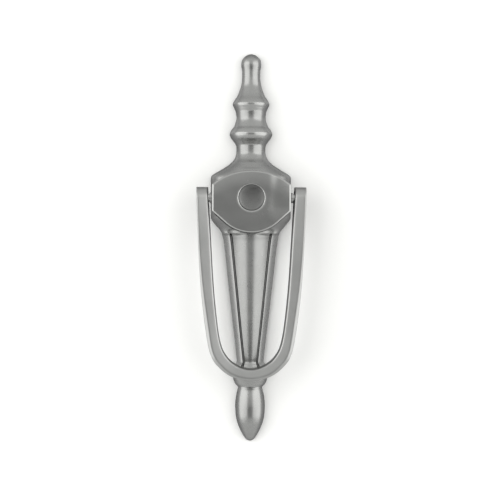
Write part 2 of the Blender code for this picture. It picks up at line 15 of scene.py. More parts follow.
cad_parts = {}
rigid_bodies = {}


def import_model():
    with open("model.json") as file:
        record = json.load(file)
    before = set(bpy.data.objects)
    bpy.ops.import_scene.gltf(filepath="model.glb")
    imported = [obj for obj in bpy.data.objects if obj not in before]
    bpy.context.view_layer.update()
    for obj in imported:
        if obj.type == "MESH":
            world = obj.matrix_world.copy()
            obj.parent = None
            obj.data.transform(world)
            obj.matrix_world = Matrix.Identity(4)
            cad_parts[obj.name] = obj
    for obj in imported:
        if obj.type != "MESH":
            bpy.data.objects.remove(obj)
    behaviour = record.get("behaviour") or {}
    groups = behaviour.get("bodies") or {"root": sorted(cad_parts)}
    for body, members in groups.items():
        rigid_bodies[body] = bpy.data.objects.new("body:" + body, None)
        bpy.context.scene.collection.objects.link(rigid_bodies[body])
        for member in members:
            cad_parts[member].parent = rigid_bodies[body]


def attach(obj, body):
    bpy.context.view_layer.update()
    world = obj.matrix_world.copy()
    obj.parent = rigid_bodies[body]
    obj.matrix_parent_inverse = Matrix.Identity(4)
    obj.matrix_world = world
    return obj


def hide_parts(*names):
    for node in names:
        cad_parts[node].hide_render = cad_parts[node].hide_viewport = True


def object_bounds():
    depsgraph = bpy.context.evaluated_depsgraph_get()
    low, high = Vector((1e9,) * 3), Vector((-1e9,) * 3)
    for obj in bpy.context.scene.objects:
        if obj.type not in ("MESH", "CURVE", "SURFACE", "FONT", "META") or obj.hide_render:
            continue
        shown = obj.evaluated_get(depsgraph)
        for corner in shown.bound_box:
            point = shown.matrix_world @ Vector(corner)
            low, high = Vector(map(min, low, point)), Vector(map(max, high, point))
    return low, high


for startup_object in list(bpy.data.objects):
    bpy.data.objects.remove(startup_object, do_unlink=True)
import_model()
cad_low, cad_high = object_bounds()

MM = 0.001
GAP = 0.3
SIDES = (("left", -1), ("right", 1))
CAD_BOX = (np.array(cad_low) / MM, np.array(cad_high) / MM)

# ---- dimensions shared with the CAD
KNOB = ((100.1, 0.0), (98.8, 3.2), (96.9, 4.82), (94.6, 5.2), (91.5, 4.75), (88.4, 4.68))
RING_UPPER = ((84.3, 5.1), (80.2, 6.35), (78.1, 7.27), (76.0, 8.65), (74.0, 9.52), (71.9, 8.68),
              (69.9, 7.85), (67.0, 7.56))
RING_LOWER = ((62.6, 8.75), (60.6, 10.25), (58.5, 11.05), (56.5, 10.3), (54.4, 8.7), (52.3, 7.6),
              (49.4, 7.48))
SHOULDER = ((46.1, 8.33), (43.0, 11.05), (39.9, 15.65), (37.6, 19.5), (36.6, 20.55), (35.4, 20.75),
            (15.4, 20.7))
BODY = ((14.5, 20.4), (11.0, 17.75), (9.0, 15.95), (6.9, 14.85), (2.8, 13.95), (-13.7, 12.0), (-57.1, 7.1))
FOOT = ((-59.0, 6.95), (-61.1, 8.3), (-64.5, 9.3), (-67.5, 8.9), (-70.5, 7.8), (-71.9, 6.5), (-72.4, 6.15))
ACORN = ((-72.9, 6.3), (-73.6, 6.52), (-76.6, 7.2), (-79.2, 7.53), (-81.8, 7.68), (-86.0, 7.5),
         (-90.1, 6.75), (-94.2, 5.15), (-97.4, 3.42), (-98.9, 2.4), (-100.1, 0.0))
OUTLINE = KNOB + RING_UPPER + RING_LOWER + SHOULDER + BODY + FOOT + ACORN
CROWN_LIMIT = ((100.1, 14.0), (52.0, 14.0), (46.5, 12.3), (43.0, 12.9), (41.0, 14.0), (39.0, 15.2),
               (36.0, 16.8), (33.0, 18.0), (30.0, 18.4), (17.0, 18.0), (14.5, 16.5), (11.5, 12.8),
               (9.5, 10.6), (8.4, 10.1), (7.4, 10.0), (5.9, 9.92), (5.0, 9.78), (4.2, 9.65), (3.2, 9.6),
               (-57.0, 8.57), (-59.0, 8.46), (-61.0, 8.9), (-63.8, 9.9), (-65.5, 9.8), (-68.0, 9.1),
               (-70.3, 8.35), (-71.6, 8.1), (-72.1, 8.3), (-72.5, 12.0), (-100.1, 12.0))
TURNED_BASE = 1.8
CROWN_BLEND = 1.0
RIM_DEPTH = ((100.1, 1.6), (48.0, 1.9), (33.0, 2.4), (17.0, 2.4), (8.0, 2.2), (-50.0, 2.0), (-60.0, 2.2),
             (-68.0, 2.1), (-100.1, 1.6))
RIM_BACK = 1.0
WALL = 2.4
GROOVE_TOP, GROOVE_START = 7.4, 6.0
GROOVE_END, GROOVE_FADED = -61.3, -63.4
GROOVE_OUTER = ((3.0, 10.5), (-59.0, 4.05))
COLUMN_EDGE = ((3.0, 9.1), (-59.0, 2.8))
GROOVE_FLOOR = 5.0
# The ribs' widths and slopes are given between these two heights.
RIBS_LOW, RIBS_HIGH = -59.0, 3.0
COLUMN_SLOPE = ((3.0, 0.54), (-59.0, 0.32))
COLUMN_ROUND = ((3.0, 0.63), (-59.0, 0.50))
RAIL_SLOPE_OUT, RAIL_SLOPE_IN = 1.6, 0.85

BOSS_HALF_WIDTH = 20.0
BOSS_CORNER_TOP, BOSS_CORNER_BOTTOM = 32.0, 18.4
BOSS_APEX_TOP = 39.0
BOSS_BOTTOM_RADIUS, BOSS_BOTTOM_TURN = 20.2, 42.6
BOSS_APEX_BOTTOM = 7.5
BOSS_BACK, BOSS_FRONT = 9.0, 21.0
BOSS_CHAMFER = 0.7
FACE_FALL_TOP, FACE_FALL_SIDE = (0.62, 8.0), (0.2, 8.0)
SEAT_DEPTH = 8.7
# How deep buffing has worn the housing's face: one streak, one patch, and faint waves all over.
STREAK_DEPTH, PATCH_DEPTH, WAVE_DEPTH = 0.40, 0.09, 0.035

VIEWER_Z = 25.3
VIEWER_RADIUS, VIEWER_CHAMFER = 6.45, 0.5
VIEWER_MOUTH = VIEWER_RADIUS + VIEWER_CHAMFER
BLANK_FRONT, BLANK_THICK, BLANK_DISH = 20.3, 1.9, 0.6
STEM_RADIUS, STEM_END = 3.0, 4.2
CLIP_RADIUS = 7.8

PIVOT_Z, PIVOT_DEPTH = 25.2, 15.0
PIVOT = (0, -PIVOT_DEPTH, PIVOT_Z)
PIN_RADIUS, PIN_INNER, PIN_OUTER = 2.0, 10.0, 25.9
SPACER_RADIUS, SPACER_INNER, SPACER_OUTER = 2.6, 20.3, 21.3
BUSH_RADIUS, BUSH_BORE, BUSH_INNER, BUSH_OUTER = 3.0, 2.08, 22.1, 26.2
GRUB_X, GRUB_RADIUS, HEX_RADIUS = 14.5, 1.5, 0.87

BAIL_OUTER = ((31.0, 28.0), (24.0, 27.8), (3.7, 27.0), (-16.5, 25.9), (-26.6, 25.0), (-36.8, 23.8),
              (-46.9, 22.3), (-51.9, 21.3), (-57.0, 19.4), (-61.0, 16.2), (-65.1, 10.9), (-67.7, 0.0))
BAIL_INNER = ((31.0, 22.0), (24.0, 21.6), (3.7, 20.4), (-16.5, 19.2), (-36.8, 17.3), (-46.9, 15.8),
              (-51.9, 14.3), (-57.0, 10.9), (-59.0, 8.4), (-61.8, 0.0))
BAIL_CHAMFER = ((31.0, 0.45), (5.0, 0.5), (-20.0, 1.1), (-45.0, 1.7), (-60.0, 1.5), (-67.7, 1.0))
BAIL_INNER_CHAMFER, BAIL_DRAFT = 0.6, 0.45
BAIL_FRONT = 20.5
# The bail's face leans in towards its inner edge, by this slope outside and a little more further in.
BAIL_LEAN, BAIL_LEAN_GAIN = 0.165, 0.0035
BAIL_BACK = ((25.2, 9.5), (12.0, 11.9), (0.0, 12.0), (-67.7, 12.0))
EYE_RADIUS = 5.5
# How far each corner of the bail's section is rounded, from its outer side at the back, all the way round.
BAIL_SOFT = (0.3, 0.3, 0.35, 0.22, 0.22, 0.25, 0.3, 0.3)
LEVEL_STRIP = 0.55

STRIKE_Z = -65.3
PAD_RADIUS, PAD_BACK, PAD_FRONT = 2.6, 8.2, 10.3
STUD_RADIUS, STUD_SHANK, STUD_TIP, STUD_END = 2.2, 1.2, 10.6, 15.5

SCREW_HEIGHTS = {"upper": 36.0, "lower": 13.6}
SCREW_HEAD, SCREW_SHANK, SCREW_END = 2.6, 1.5, 14.4
POCKET_ROOF = SEAT_DEPTH - WALL
INSERTS = {"upper": (48.8, 6.6), "lower": (-66.2, 4.6)}
INSERT_RADIUS, INSERT_BORE = 3.3, 2.1
GASKET_INSET, GASKET_THICK, GASKET_TIP, GASKET_EDGE = 0.6, 0.7, 98.6, 0.16


# ---- curves
def smooth_curve(stations):
    """A smooth function through (position, value) stations that never overshoots them."""
    at, value = np.array(sorted(stations), float).T
    step = np.diff(at)
    slope = np.diff(value) / step
    tangent = np.zeros(len(at))
    product = slope[:-1] * slope[1:]
    total = np.where(product > 0, slope[:-1] + slope[1:], 1.0)
    tangent[1:-1] = np.where(product > 0, 2 * product / total, 0.0)
    tangent[0], tangent[-1] = slope[0], slope[-1]

    def read(where):
        where = np.asarray(where, float)
        k = np.clip(np.searchsorted(at, where) - 1, 0, len(step) - 1)
        t = np.clip((where - at[k]) / step[k], 0.0, 1.0)
        start = (1 + 2 * t) * (1 - t) ** 2 * value[k] + t * (1 - t) ** 2 * step[k] * tangent[k]
        end = t * t * (3 - 2 * t) * value[k + 1] + t * t * (t - 1) * step[k] * tangent[k + 1]
        return start + end

    return read


def round_ended(stations):
    """The same for a half width that closes on a rounded tip: its square is what runs smoothly."""
    squared = smooth_curve([(at, width * width) for at, width in stations])
    return lambda where: np.sqrt(np.maximum(squared(where), 0.0))


def ramp(start, end, value):
    t = np.clip((np.asarray(value, float) - start) / (end - start), 0.0, 1.0)
    return t * t * (3 - 2 * t)


def line(ends, where):
    (a, low), (b, high) = ends
    return low + (high - low) * np.clip((np.asarray(where, float) - a) / (b - a), 0.0, 1.0)


outline = round_ended(OUTLINE)
crown_limit = smooth_curve(CROWN_LIMIT)
rim_depth = smooth_curve(RIM_DEPTH)
bail_outer = round_ended(BAIL_OUTER)
bail_inner = round_ended(BAIL_INNER)
bail_chamfer = smooth_curve(BAIL_CHAMFER)
bail_back = smooth_curve(BAIL_BACK)


def crown(z):
    turned_top, limit = outline(z) + TURNED_BASE, crown_limit(z)
    return 0.5 * (turned_top + limit - np.hypot(turned_top - limit, CROWN_BLEND))


def ribbing(z):
    """0 where the plate is turned or plain, 1 where its grooves are full."""
    return ramp(GROOVE_TOP, GROOVE_START, z) * (1 - ramp(GROOVE_END, GROOVE_FADED, z))


def groove_fractions(z):
    inside = np.clip(z, RIBS_LOW, RIBS_HIGH)
    width = outline(inside)
    return line(COLUMN_EDGE, inside) / width, line(GROOVE_OUTER, inside) / width


# ---- meshes
def clamp_to_box(points):
    return np.clip(points, CAD_BOX[0], CAD_BOX[1])


def make(name, points, faces, sharp=35.0):
    """A smooth-shaded object from points in millimetres, turned outwards."""
    mesh = bpy.data.meshes.new(name)
    points = np.asarray(points, float)
    mesh.from_pydata((points * MM).tolist(), [], faces)
    mesh.validate()
    made = bpy.data.objects.new(name, mesh)
    bpy.context.scene.collection.objects.link(made)
    if signed_volume(mesh) < 0:
        mesh.flip_normals()
    shade(made, sharp)
    return made


def signed_volume(mesh):
    mesh.calc_loop_triangles()
    count = len(mesh.loop_triangles)
    corners = np.empty(count * 3, np.int32)
    mesh.loop_triangles.foreach_get("vertices", corners)
    at = np.empty(len(mesh.vertices) * 3, np.float32)
    mesh.vertices.foreach_get("co", at)
    a, b, c = at.reshape(-1, 3)[corners.reshape(-1, 3)].transpose(1, 0, 2).astype(float)
    return float(np.einsum("ij,ij->", a, np.cross(b, c)))


def shade(made, sharp):
    made.data.shade_smooth()
    made.data.set_sharp_from_angle(angle=math.radians(sharp))


def skin_faces(rows, count, closed):
    """Quads between successive rings of points, with the first and last capped or, if closed, joined."""
    faces = []
    for r in range(rows if closed else rows - 1):
        low, high = r * count, ((r + 1) % rows) * count
        for k in range(count):
            n = (k + 1) % count
            faces.append((low + k, low + n, high + n, high + k))
    if not closed:
        last = (rows - 1) * count
        faces.append(tuple(reversed(range(count))))
        faces.append(tuple(range(last, last + count)))
    return faces


def loft(name, rings, closed=False, sharp=35.0):
    rings = np.asarray(rings, float)
    rows, count = rings.shape[:2]
    return make(name, rings.reshape(-1, 3), skin_faces(rows, count, closed), sharp)


def toward(here, other, cut, most):
    """The point that lies cut away from here towards the other, or a share of the way if that is nearer."""
    way = other - here
    length = np.linalg.norm(way)
    return here + way / max(length, 1e-9) * min(cut, most * length)


def bend_round(start, corner, end, steps):
    """Points along the curve that leaves the start and reaches the end as if both went by the corner."""
    shares = [i / steps for i in range(steps + 1)]
    return [(1 - t) ** 2 * start + 2 * t * (1 - t) * corner + t * t * end for t in shares]


def soften(points, cut, steps=3, closed=False):
    """A polyline with each corner rounded. Its points may have any number of coordinates."""
    points = [np.asarray(p, float) for p in points]
    found = []
    for k, here in enumerate(points):
        if not closed and k in (0, len(points) - 1):
            found.append(here)
            continue
        start = toward(here, points[k - 1], cut, 0.45)
        end = toward(here, points[(k + 1) % len(points)], cut, 0.45)
        found += bend_round(start, here, end, steps)
    return found


def turned(name, profile, centre, axis, sides=72, ripple=None, soft=0.0, sharp=35.0):
    """A solid of revolution from (radius, position) points. A profile off the axis closes into a ring.
    ripple(radius, position, angle) moves the radius, as a thread or a knurl does."""
    closed = profile[0][0] > 0
    if soft:
        profile = soften(profile, soft, closed=closed)
    across_a, across_b, along = {"X": (1, 2, 0), "Y": (0, 2, 1)}[axis]
    points, rings, faces = [], [], []
    for radius, position in profile:
        count = sides if radius > 1e-6 else 1
        angle = 2 * math.pi * (np.arange(count) + 0.5) / sides
        reach = np.full(count, float(radius))
        if ripple and count > 1:
            reach = reach + ripple(reach, np.full(count, float(position)), angle)
        ring = np.zeros((count, 3))
        ring[:, across_a] = centre[across_a] + reach * np.cos(angle)
        ring[:, across_b] = centre[across_b] + reach * np.sin(angle)
        ring[:, along] = position
        rings.append(range(len(points), len(points) + count))
        points.extend(ring)
    pairs = list(zip(rings, rings[1:] + rings[:1])) if closed else list(zip(rings, rings[1:]))
    for low, high in pairs:
        for k in range(sides):
            n = (k + 1) % sides
            corners = [low[k % len(low)], low[n % len(low)], high[n % len(high)], high[k % len(high)]]
            faces.append(tuple(dict.fromkeys(corners)))
    return make(name, points, faces, sharp)


def rod(name, radius, start, end, centre, axis, sides=48):
    return turned(name, [(0, start), (radius, start), (radius, end), (0, end)], centre, axis, sides)


def bore(name, radius, start, end, z, sides=48, x=0):
    """A rod that runs into the object, along Y."""
    return rod(name, radius, start, end, (x, 0, z), "Y", sides)


def prism(name, polygon, near, far, centre, taper=1.0):
    """A cutter along Y: the (x, z) polygon at depth near, scaled by taper at depth far."""
    rings = []
    for depth, scale in ((near, 1.0), (far, taper)):
        rings.append([(centre[0] + x * scale, -depth, centre[1] + z * scale) for x, z in polygon])
    return loft(name, rings)


def carve(piece, cutters, sharp=35.0):
    """Cuts every cutter out of the piece for good, then removes them."""
    for cutter in cutters:
        modifier = piece.modifiers.new("cut", "BOOLEAN")
        modifier.operation = "DIFFERENCE"
        modifier.solver = "EXACT"
        modifier.object = cutter
    graph = bpy.context.evaluated_depsgraph_get()
    carved = bpy.data.meshes.new_from_object(piece.evaluated_get(graph))
    piece.modifiers.clear()
    old = piece.data
    piece.data = carved
    bpy.data.meshes.remove(old)
    carved.name = piece.name
    for cutter in cutters:
        bpy.data.objects.remove(cutter, do_unlink=True)
    shade(piece, sharp)
    return piece


def coordinates(piece):
    at = np.empty(len(piece.data.vertices) * 3, np.float32)
    piece.data.vertices.foreach_get("co", at)
    return at.reshape(-1, 3).astype(float) / MM


def tag(piece, name, values):
    """Stores a value from 0 to 1 at each point, which a material reads."""
    attribute = piece.data.attributes.new(name, "FLOAT", "POINT")
    attribute.data.foreach_set("value", np.clip(values, 0, 1).astype(np.float32))


def spaced(top, bottom, step):
    count = max(1, round(abs(top - bottom) / step))
    return list(np.linspace(top, bottom, count, endpoint=False))


# ---- the plate casting
def plate_heights():
    found = [100.088] + [100.1 - 6.1 * (k / 18) ** 2 for k in range(1, 18)]
    for top, bottom, step in (
        (94.0, 80.0, 0.5), (80.0, 49.0, 0.3), (49.0, 34.5, 0.3), (34.5, 17.0, 1.0), (17.0, 8.6, 0.3),
        (8.6, 2.6, 0.14), (2.6, -56.0, 1.2), (-56.0, -58.0, 0.25), (-58.0, -76.0, 0.22), (-76.0, -94.0, 0.5),
    ):
        found += spaced(top, bottom, step)
    return np.array(found + [-100.1 + 6.1 * (k / 18) ** 2 for k in range(18, 0, -1)] + [-100.088])


def plate_fractions(z):
    """Where a section is sampled, from the centre out, with the kind of surface that each point is on."""
    column, rail = groove_fractions(z)
    width = rail - column
    samples = [(column * math.sin(math.pi / 2 * k / 16), "column", 0.0) for k in range(16)]
    samples += [(column + width * t, "groove", t) for t in np.linspace(0, 1, 15)]
    start = math.asin(float(rail))
    for k in range(1, 19):
        samples.append((math.sin(start + (math.pi / 2 - start) * k / 18), "rail", 0.0))
    return samples


def column_fall(z, x, half):
    """How far the column has fallen at x from its ridge: round in the middle, nearly straight outside."""
    inside = min(max(z, RIBS_LOW), RIBS_HIGH)
    ridge = half * float(line(COLUMN_ROUND, inside))
    return float(line(COLUMN_SLOPE, inside)) * (math.hypot(x, ridge) - ridge)


def rail_rise(width, share):
    """How far a rail has risen from the rim at a share of its width, its slope easing off inwards."""
    return width * (RAIL_SLOPE_OUT * share + (RAIL_SLOPE_IN - RAIL_SLOPE_OUT) * share * share / 2)


def plate_section(z):
    """Half a section as (x, depth) from the centre to the rim."""
    width, rim, top, ribbed = (float(f(z)) for f in (outline, rim_depth, crown, ribbing))
    column, rail = (float(v) for v in groove_fractions(z))
    half_column = column * width
    edge_depth = top - column_fall(z, half_column, half_column)
    rail_width = width * (1 - rail)
    half = []
    for u, kind, t in plate_fractions(z):
        depth = rim + (top - rim) * math.sqrt(max(1 - u * u, 0.0))
        if ribbed > 0:
            if kind == "column":
                shaped = top - column_fall(z, u * width, half_column)
            elif kind == "groove":
                wall_in = float(ramp(0.36, 0.0, t))
                wall_out = float(ramp(0.64, 1.0, t))
                slope_in = edge_depth - 0.3 * (u - column) * width
                slope_out = rim + rail_rise(rail_width, 1.0) - RAIL_SLOPE_IN * (u - rail) * width
                shaped = (GROOVE_FLOOR + (slope_in - GROOVE_FLOOR) * wall_in
                          + (slope_out - GROOVE_FLOOR) * wall_out)
            else:
                shaped = rim + rail_rise(rail_width, (1 - u) / (1 - rail))
            depth += (shaped - depth) * ribbed
        half.append((width * u, depth))
    return half


def plate_rings():
    rings = []
    for z in plate_heights():
        half = plate_section(z)
        width = half[-1][0]
        half += [(width, max(RIM_BACK + 0.25, half[-1][1] - 0.6)), (width, RIM_BACK + 0.2)]
        half.append((max(width - 0.2, 0.02), RIM_BACK))
        right = [(x, -depth, z) for x, depth in half]
        rings.append([(-x, y, z) for x, y, z in reversed(right[1:])] + right)
    return rings


def pocket(name, top, bottom, step):
    """A cutter that hollows the plate's back between two heights and leaves a wall all round."""
    rings = []
    for z in spaced(top, bottom, step) + [bottom]:
        width = max(float(outline(z)) - WALL, 1.6)
        roof = float(crown(z))
        if BOSS_APEX_BOTTOM - 2 < z < BOSS_APEX_TOP + 3:
            roof = min(roof, SEAT_DEPTH)
        ribbed = float(ribbing(z))
        column = float(groove_fractions(z)[0] * outline(z)) * 0.94
        arch = width * 0.96 + (min(column, width * 0.96) - width * 0.96) * ribbed
        depth = roof - WALL
        edge = float(rim_depth(z)) + (GROOVE_FLOOR - 1.8 - float(rim_depth(z))) * ribbed
        edge = min(edge, depth - 0.8)
        ring = [(-width, 2.0, z), (-width, -edge, z)]
        for k in range(17):
            u = -1 + k / 8
            ring.append((arch * u, -(edge + (depth - edge) * math.sqrt(1 - u * u)), z))
        ring += [(width, -edge, z), (width, 2.0, z)]
        rings.append(ring)
    return loft(name, rings)


def boss_outline(grow=0.0, corner=0.5, arc_steps=72):
    """The housing's outline in (x, z), clockwise from its lower right corner, with softened corners."""
    half = BOSS_HALF_WIDTH + grow
    points = [(half, BOSS_CORNER_BOTTOM - 0.4 * grow), (half, BOSS_CORNER_TOP + 0.4 * grow)]
    rise = BOSS_APEX_TOP - BOSS_CORNER_TOP
    radius = (BOSS_HALF_WIDTH**2 + rise**2) / (2 * rise)
    edge = math.asin(BOSS_HALF_WIDTH / radius)
    for k in range(1, arc_steps):
        angle = edge * (1 - 2 * k / arc_steps)
        reach = radius + grow
        points.append((reach * math.sin(angle), BOSS_APEX_TOP - radius + reach * math.cos(angle)))
    points += [(-half, BOSS_CORNER_TOP + 0.4 * grow), (-half, BOSS_CORNER_BOTTOM - 0.4 * grow)]
    turn = math.radians(BOSS_BOTTOM_TURN)
    for k in range(arc_steps + 1):
        angle = -turn + 2 * turn * k / arc_steps
        reach = BOSS_BOTTOM_RADIUS + grow
        z = BOSS_APEX_BOTTOM + BOSS_BOTTOM_RADIUS - reach * math.cos(angle)
        points.append((reach * math.sin(angle), z))
    return round_corners(points, corner)


def round_corners(points, cut):
    """Rounds only the corners of a closed outline that turn by more than 12 degrees."""
    found = []
    count = len(points)
    for k, here in enumerate(points):
        before, after = Vector(points[k - 1]), Vector(points[(k + 1) % count])
        here = Vector(here)
        a, b = (here - before), (after - here)
        if a.angle(b) < math.radians(12) or cut <= 0:
            found.append(tuple(here))
            continue
        start = here - a.normalized() * min(cut, a.length * 0.45)
        end = here + b.normalized() * min(cut, b.length * 0.45)
        found += [tuple(point) for point in bend_round(start, here, end, 6)]
    return found


def resample(points, step):
    """The closed outline with points about step apart, keeping every point it has."""
    found = []
    for k, here in enumerate(points):
        after = points[(k + 1) % len(points)]
        parts = max(1, math.ceil(math.dist(here, after) / step))
        for i in range(parts):
            t = i / parts
            found.append((here[0] + (after[0] - here[0]) * t, here[1] + (after[1] - here[1]) * t))
    return found


def build_plate():
    plate = loft("plate_casting", clamp_to_box(np.array(plate_rings())))
    cutters = [
        pocket("pocket_rings", 88.0, 54.5, 1.2),
        pocket("pocket_body", 42.0, -55.0, 2.2),
        pocket("pocket_acorn", -76.0, -91.0, 1.5),
        loft("seat", [[(x, -depth, z) for x, z in boss_outline(GAP)] for depth in (SEAT_DEPTH, 30.0)]),
        bore("viewer_hole", VIEWER_RADIUS + GAP, 1.0, -14.0, VIEWER_Z, 64),
        bore("pad_recess", PAD_RADIUS + GAP, -PAD_BACK, -20.0, STRIKE_Z),
    ]
    for name, z in SCREW_HEIGHTS.items():
        cutters.append(bore("screw_hole_" + name, SCREW_SHANK + GAP, -2.0, -14.0, z, 32))
    for name, (z, length) in INSERTS.items():
        end = -(RIM_BACK + GAP + length + GAP)
        cutters.append(bore("insert_hole_" + name, INSERT_RADIUS + GAP, 1.0, end, z))
    carve(plate, cutters, 30.0)
    paint_plate_shade_and_highlights(plate)
    return plate


def paint_plate_shade_and_highlights(plate):
    """Tags painted shade, which also dulls, in the plate's grooves, creases and neck and under the housing,
    and painted highlights, which also smooth, on its ring crests and the rails' inner edges.
    """
    x, y, z = coordinates(plate).T
    column, rail = groove_fractions(z)
    width = np.maximum(outline(z), 1e-3)
    u = np.abs(x) / width
    middle, half_width = (column + rail) / 2, (rail - column) / 2
    groove = np.exp(-((u - middle) / (half_width * 0.9)) ** 4) * ribbing(z) * (-y < 8.6)
    step = np.exp(-((z - 4.6) / 1.1) ** 2) * (u < rail)
    neck = np.exp(-((z + 72.6) / 0.9) ** 2)
    inside = np.where((np.abs(-y - SEAT_DEPTH) < 0.02) & (np.abs(z - VIEWER_Z) < 18), 1.0, 0.0)
    # Painted shadow: a dark dash across the shoulder just above the housing's top.
    crease = np.exp(-((z - 40.6) / 0.4) ** 2 - (x / 5.2) ** 4) * (y < -9.0)
    tag(plate, "shade_and_dull", np.maximum.reduce([0.5 * groove, 0.2 * step, 0.1 * neck, 0.9 * crease, inside]))
    # Painted highlights on the ring crests and the foot, and along the rails' inner edges.
    crest = sum(np.exp(-((z - at) / wide) ** 2) for at, wide in ((74.0, 1.3), (58.5, 1.4), (-64.5, 1.6)))
    rail_edge = np.exp(-((u - rail) / 0.03) ** 2) * ribbing(z)
    tag(plate, "polish_and_highlight", np.maximum(0.25 * crest * (y < -3), 0.2 * rail_edge))


# ---- the housing casting
def inset(points, distance):
    """The closed outline moved in by a distance along the normals at its corners."""
    here = np.asarray(points, float)
    a = here - np.roll(here, 1, axis=0)
    b = np.roll(here, -1, axis=0) - here
    a /= np.linalg.norm(a, axis=1)[:, None]
    b /= np.linalg.norm(b, axis=1)[:, None]
    total = a + b
    normal = np.stack([-total[:, 1], total[:, 0]], 1)
    normal /= np.linalg.norm(normal, axis=1)[:, None]
    stretch = 1 / np.maximum(normal[:, 0] * -a[:, 1] + normal[:, 1] * a[:, 0], 0.5)
    return here + normal * (distance * stretch)[:, None]


def edge_distance(x, z, border):
    """How far points are from the closed outline."""
    start = np.asarray(border, float)
    way = np.roll(start, -1, axis=0) - start
    rel = np.stack([x, z], 1)[:, None, :] - start[None]
    t = np.clip((rel * way[None]).sum(2) / np.maximum((way**2).sum(1)[None], 1e-12), 0, 1)
    return np.sqrt(((rel - way[None] * t[..., None]) ** 2).sum(2)).min(1)


def hand_polish(x, z):
    """The shallow waves that buffing leaves in the housing's face, in millimetres of depth."""
    streak = STREAK_DEPTH * ramp(7.6, 13.4, x - 0.06 * (z - 25)) * ramp(13, 21, z)
    patch = PATCH_DEPTH * ramp(4.5, 9.0, x) * ramp(19, 11, z)
    cloud = WAVE_DEPTH * np.sin(x / 3.4 + 0.9 * np.sin(z / 4.3)) * np.sin(z / 3.1 + x / 7.0 + 1.3)
    return cloud - streak - patch


def face_drop(x, z):
    """How far the housing's face has fallen back at points: towards its top arc and its sides."""
    arc = BOSS_APEX_TOP - (BOSS_APEX_TOP - BOSS_CORNER_TOP) * (x / BOSS_HALF_WIDTH) ** 2
    drop = np.zeros(len(x))
    for inside, (fall, reach) in ((arc - z, FACE_FALL_TOP), (BOSS_HALF_WIDTH - np.abs(x), FACE_FALL_SIDE)):
        drop += fall * np.maximum(0.0, 1 - inside / reach) ** 2
    return drop


def boss_face(points):
    """How far out the housing's face lies at (x, z) points."""
    x, z = points[:, 0], points[:, 1]
    fade = ramp(VIEWER_RADIUS, VIEWER_RADIUS + 2.6, np.hypot(x, z - VIEWER_Z))
    face = BOSS_FRONT - face_drop(x, z) - 0.03 + hand_polish(x, z) * fade
    return np.minimum(face, BOSS_FRONT - 0.003)


def boss_rings(border):
    """Rings from the back of the viewer opening, out over the face and the chamfer, to the housing's back."""
    base = np.array(border)
    centre = np.array([0.0, VIEWER_Z])
    c = BOSS_CHAMFER
    rings = []

    def ring(points, depth):
        depths = np.broadcast_to(depth, len(points))
        rings.append([(p[0], -d, p[1]) for p, d in zip(points, depths)])

    mouth, lip_depth = VIEWER_MOUTH, BOSS_FRONT - 0.08
    way = base - centre
    way /= np.linalg.norm(way, axis=1)[:, None]
    for radius, depth in ((VIEWER_RADIUS, BOSS_BACK), (VIEWER_RADIUS, 14.0)):
        ring(centre + way * radius, depth)
    lip = soften([(VIEWER_RADIUS, 17.0), (VIEWER_RADIUS, lip_depth - VIEWER_CHAMFER),
                  (mouth, lip_depth), (mouth + 1.0, lip_depth)], 0.14)
    for radius, depth in lip[:-1]:
        ring(centre + way * radius, depth)
    inner = centre + way * (mouth + 0.35)
    outer = inset(border, c + 0.15)
    for k in range(27):
        t = (k / 26) ** 0.85
        points = inner + (outer - inner) * t
        ring(points, boss_face(points))
    edge_face = boss_face(inset(border, c))
    for share, drop in ((1.0, 0.0), (0.9, 0.02), (0.8, 0.06), (0.16, 0.29), (0.05, 0.35), (0.0, 0.47)):
        ring(inset(border, c * share) if share else base, edge_face - drop)
    for depth in (17.0, 12.0, BOSS_BACK + 0.25):
        ring(base, depth)
    ring(inset(border, 0.2), BOSS_BACK)
    return rings


def build_boss():
    border = resample(boss_outline(), 0.55)
    boss = loft("housing_casting", boss_rings(border), closed=True)
    cutters = []
    for side, sign in SIDES:
        start, end = sign * (PIN_INNER - GAP), sign * 24.0
        cutters.append(rod("pin_bore_" + side, PIN_RADIUS + GAP, start, end, PIVOT, "X"))
        x = sign * GRUB_X
        cutters.append(bore("grub_hole_" + side, GRUB_RADIUS + GAP, -2.0, -PIVOT_DEPTH, PIVOT_Z, 32, x))
    for name, z in SCREW_HEIGHTS.items():
        cutters.append(bore("tap_" + name, SCREW_SHANK + GAP, -2.0, -(SCREW_END + GAP), z, 32))
    carve(boss, cutters, 38.0)
    x, y, z = coordinates(boss).T
    away = edge_distance(x, z, border)
    # Painted highlights on the chamfer and the viewer's mouth, and painted shade darkening the housing
    # towards its back.
    chamfer = np.where(away < BOSS_CHAMFER + 0.12, 1.0, 0.0) * (y < -(BOSS_FRONT - 1.4))
    mouth_edge = np.exp(-((np.hypot(x, z - VIEWER_Z) - VIEWER_MOUTH) / 0.5) ** 2) * (y < -(BOSS_FRONT - 1.2))
    tag(boss, "polish_and_highlight", np.maximum(chamfer, mouth_edge))
    tag(boss, "shade_and_dull", ramp(14.0, 9.5, -y) * 0.7)
    return boss


# ---- the bail casting
def bail_edges():
    """Matching points (x, z) of the bail's two edges, from the top of its right eye to its middle."""
    arm = [PIVOT_Z + EYE_RADIUS * math.sin(math.radians(a)) for a in np.linspace(87.5, 3, 26)]
    join = -18.0
    arm += spaced(PIVOT_Z, join, 0.9)
    halves = []
    for width, apex in ((bail_outer, BAIL_OUTER[-1][0]), (bail_inner, BAIL_INNER[-1][0])):
        fine = apex + (join - apex) * np.linspace(1, 0, 1201) ** 2
        run = np.stack([width(fine), fine], 1)
        length = np.concatenate([[0], np.cumsum(np.linalg.norm(np.diff(run, axis=0), axis=1))])
        wanted = np.linspace(0, length[-1], 88)
        bend = np.stack([np.interp(wanted, length, run[:, 0]), np.interp(wanted, length, run[:, 1])], 1)
        halves.append(np.concatenate([np.stack([width(np.array(arm)), arm], 1), bend]))
    return halves


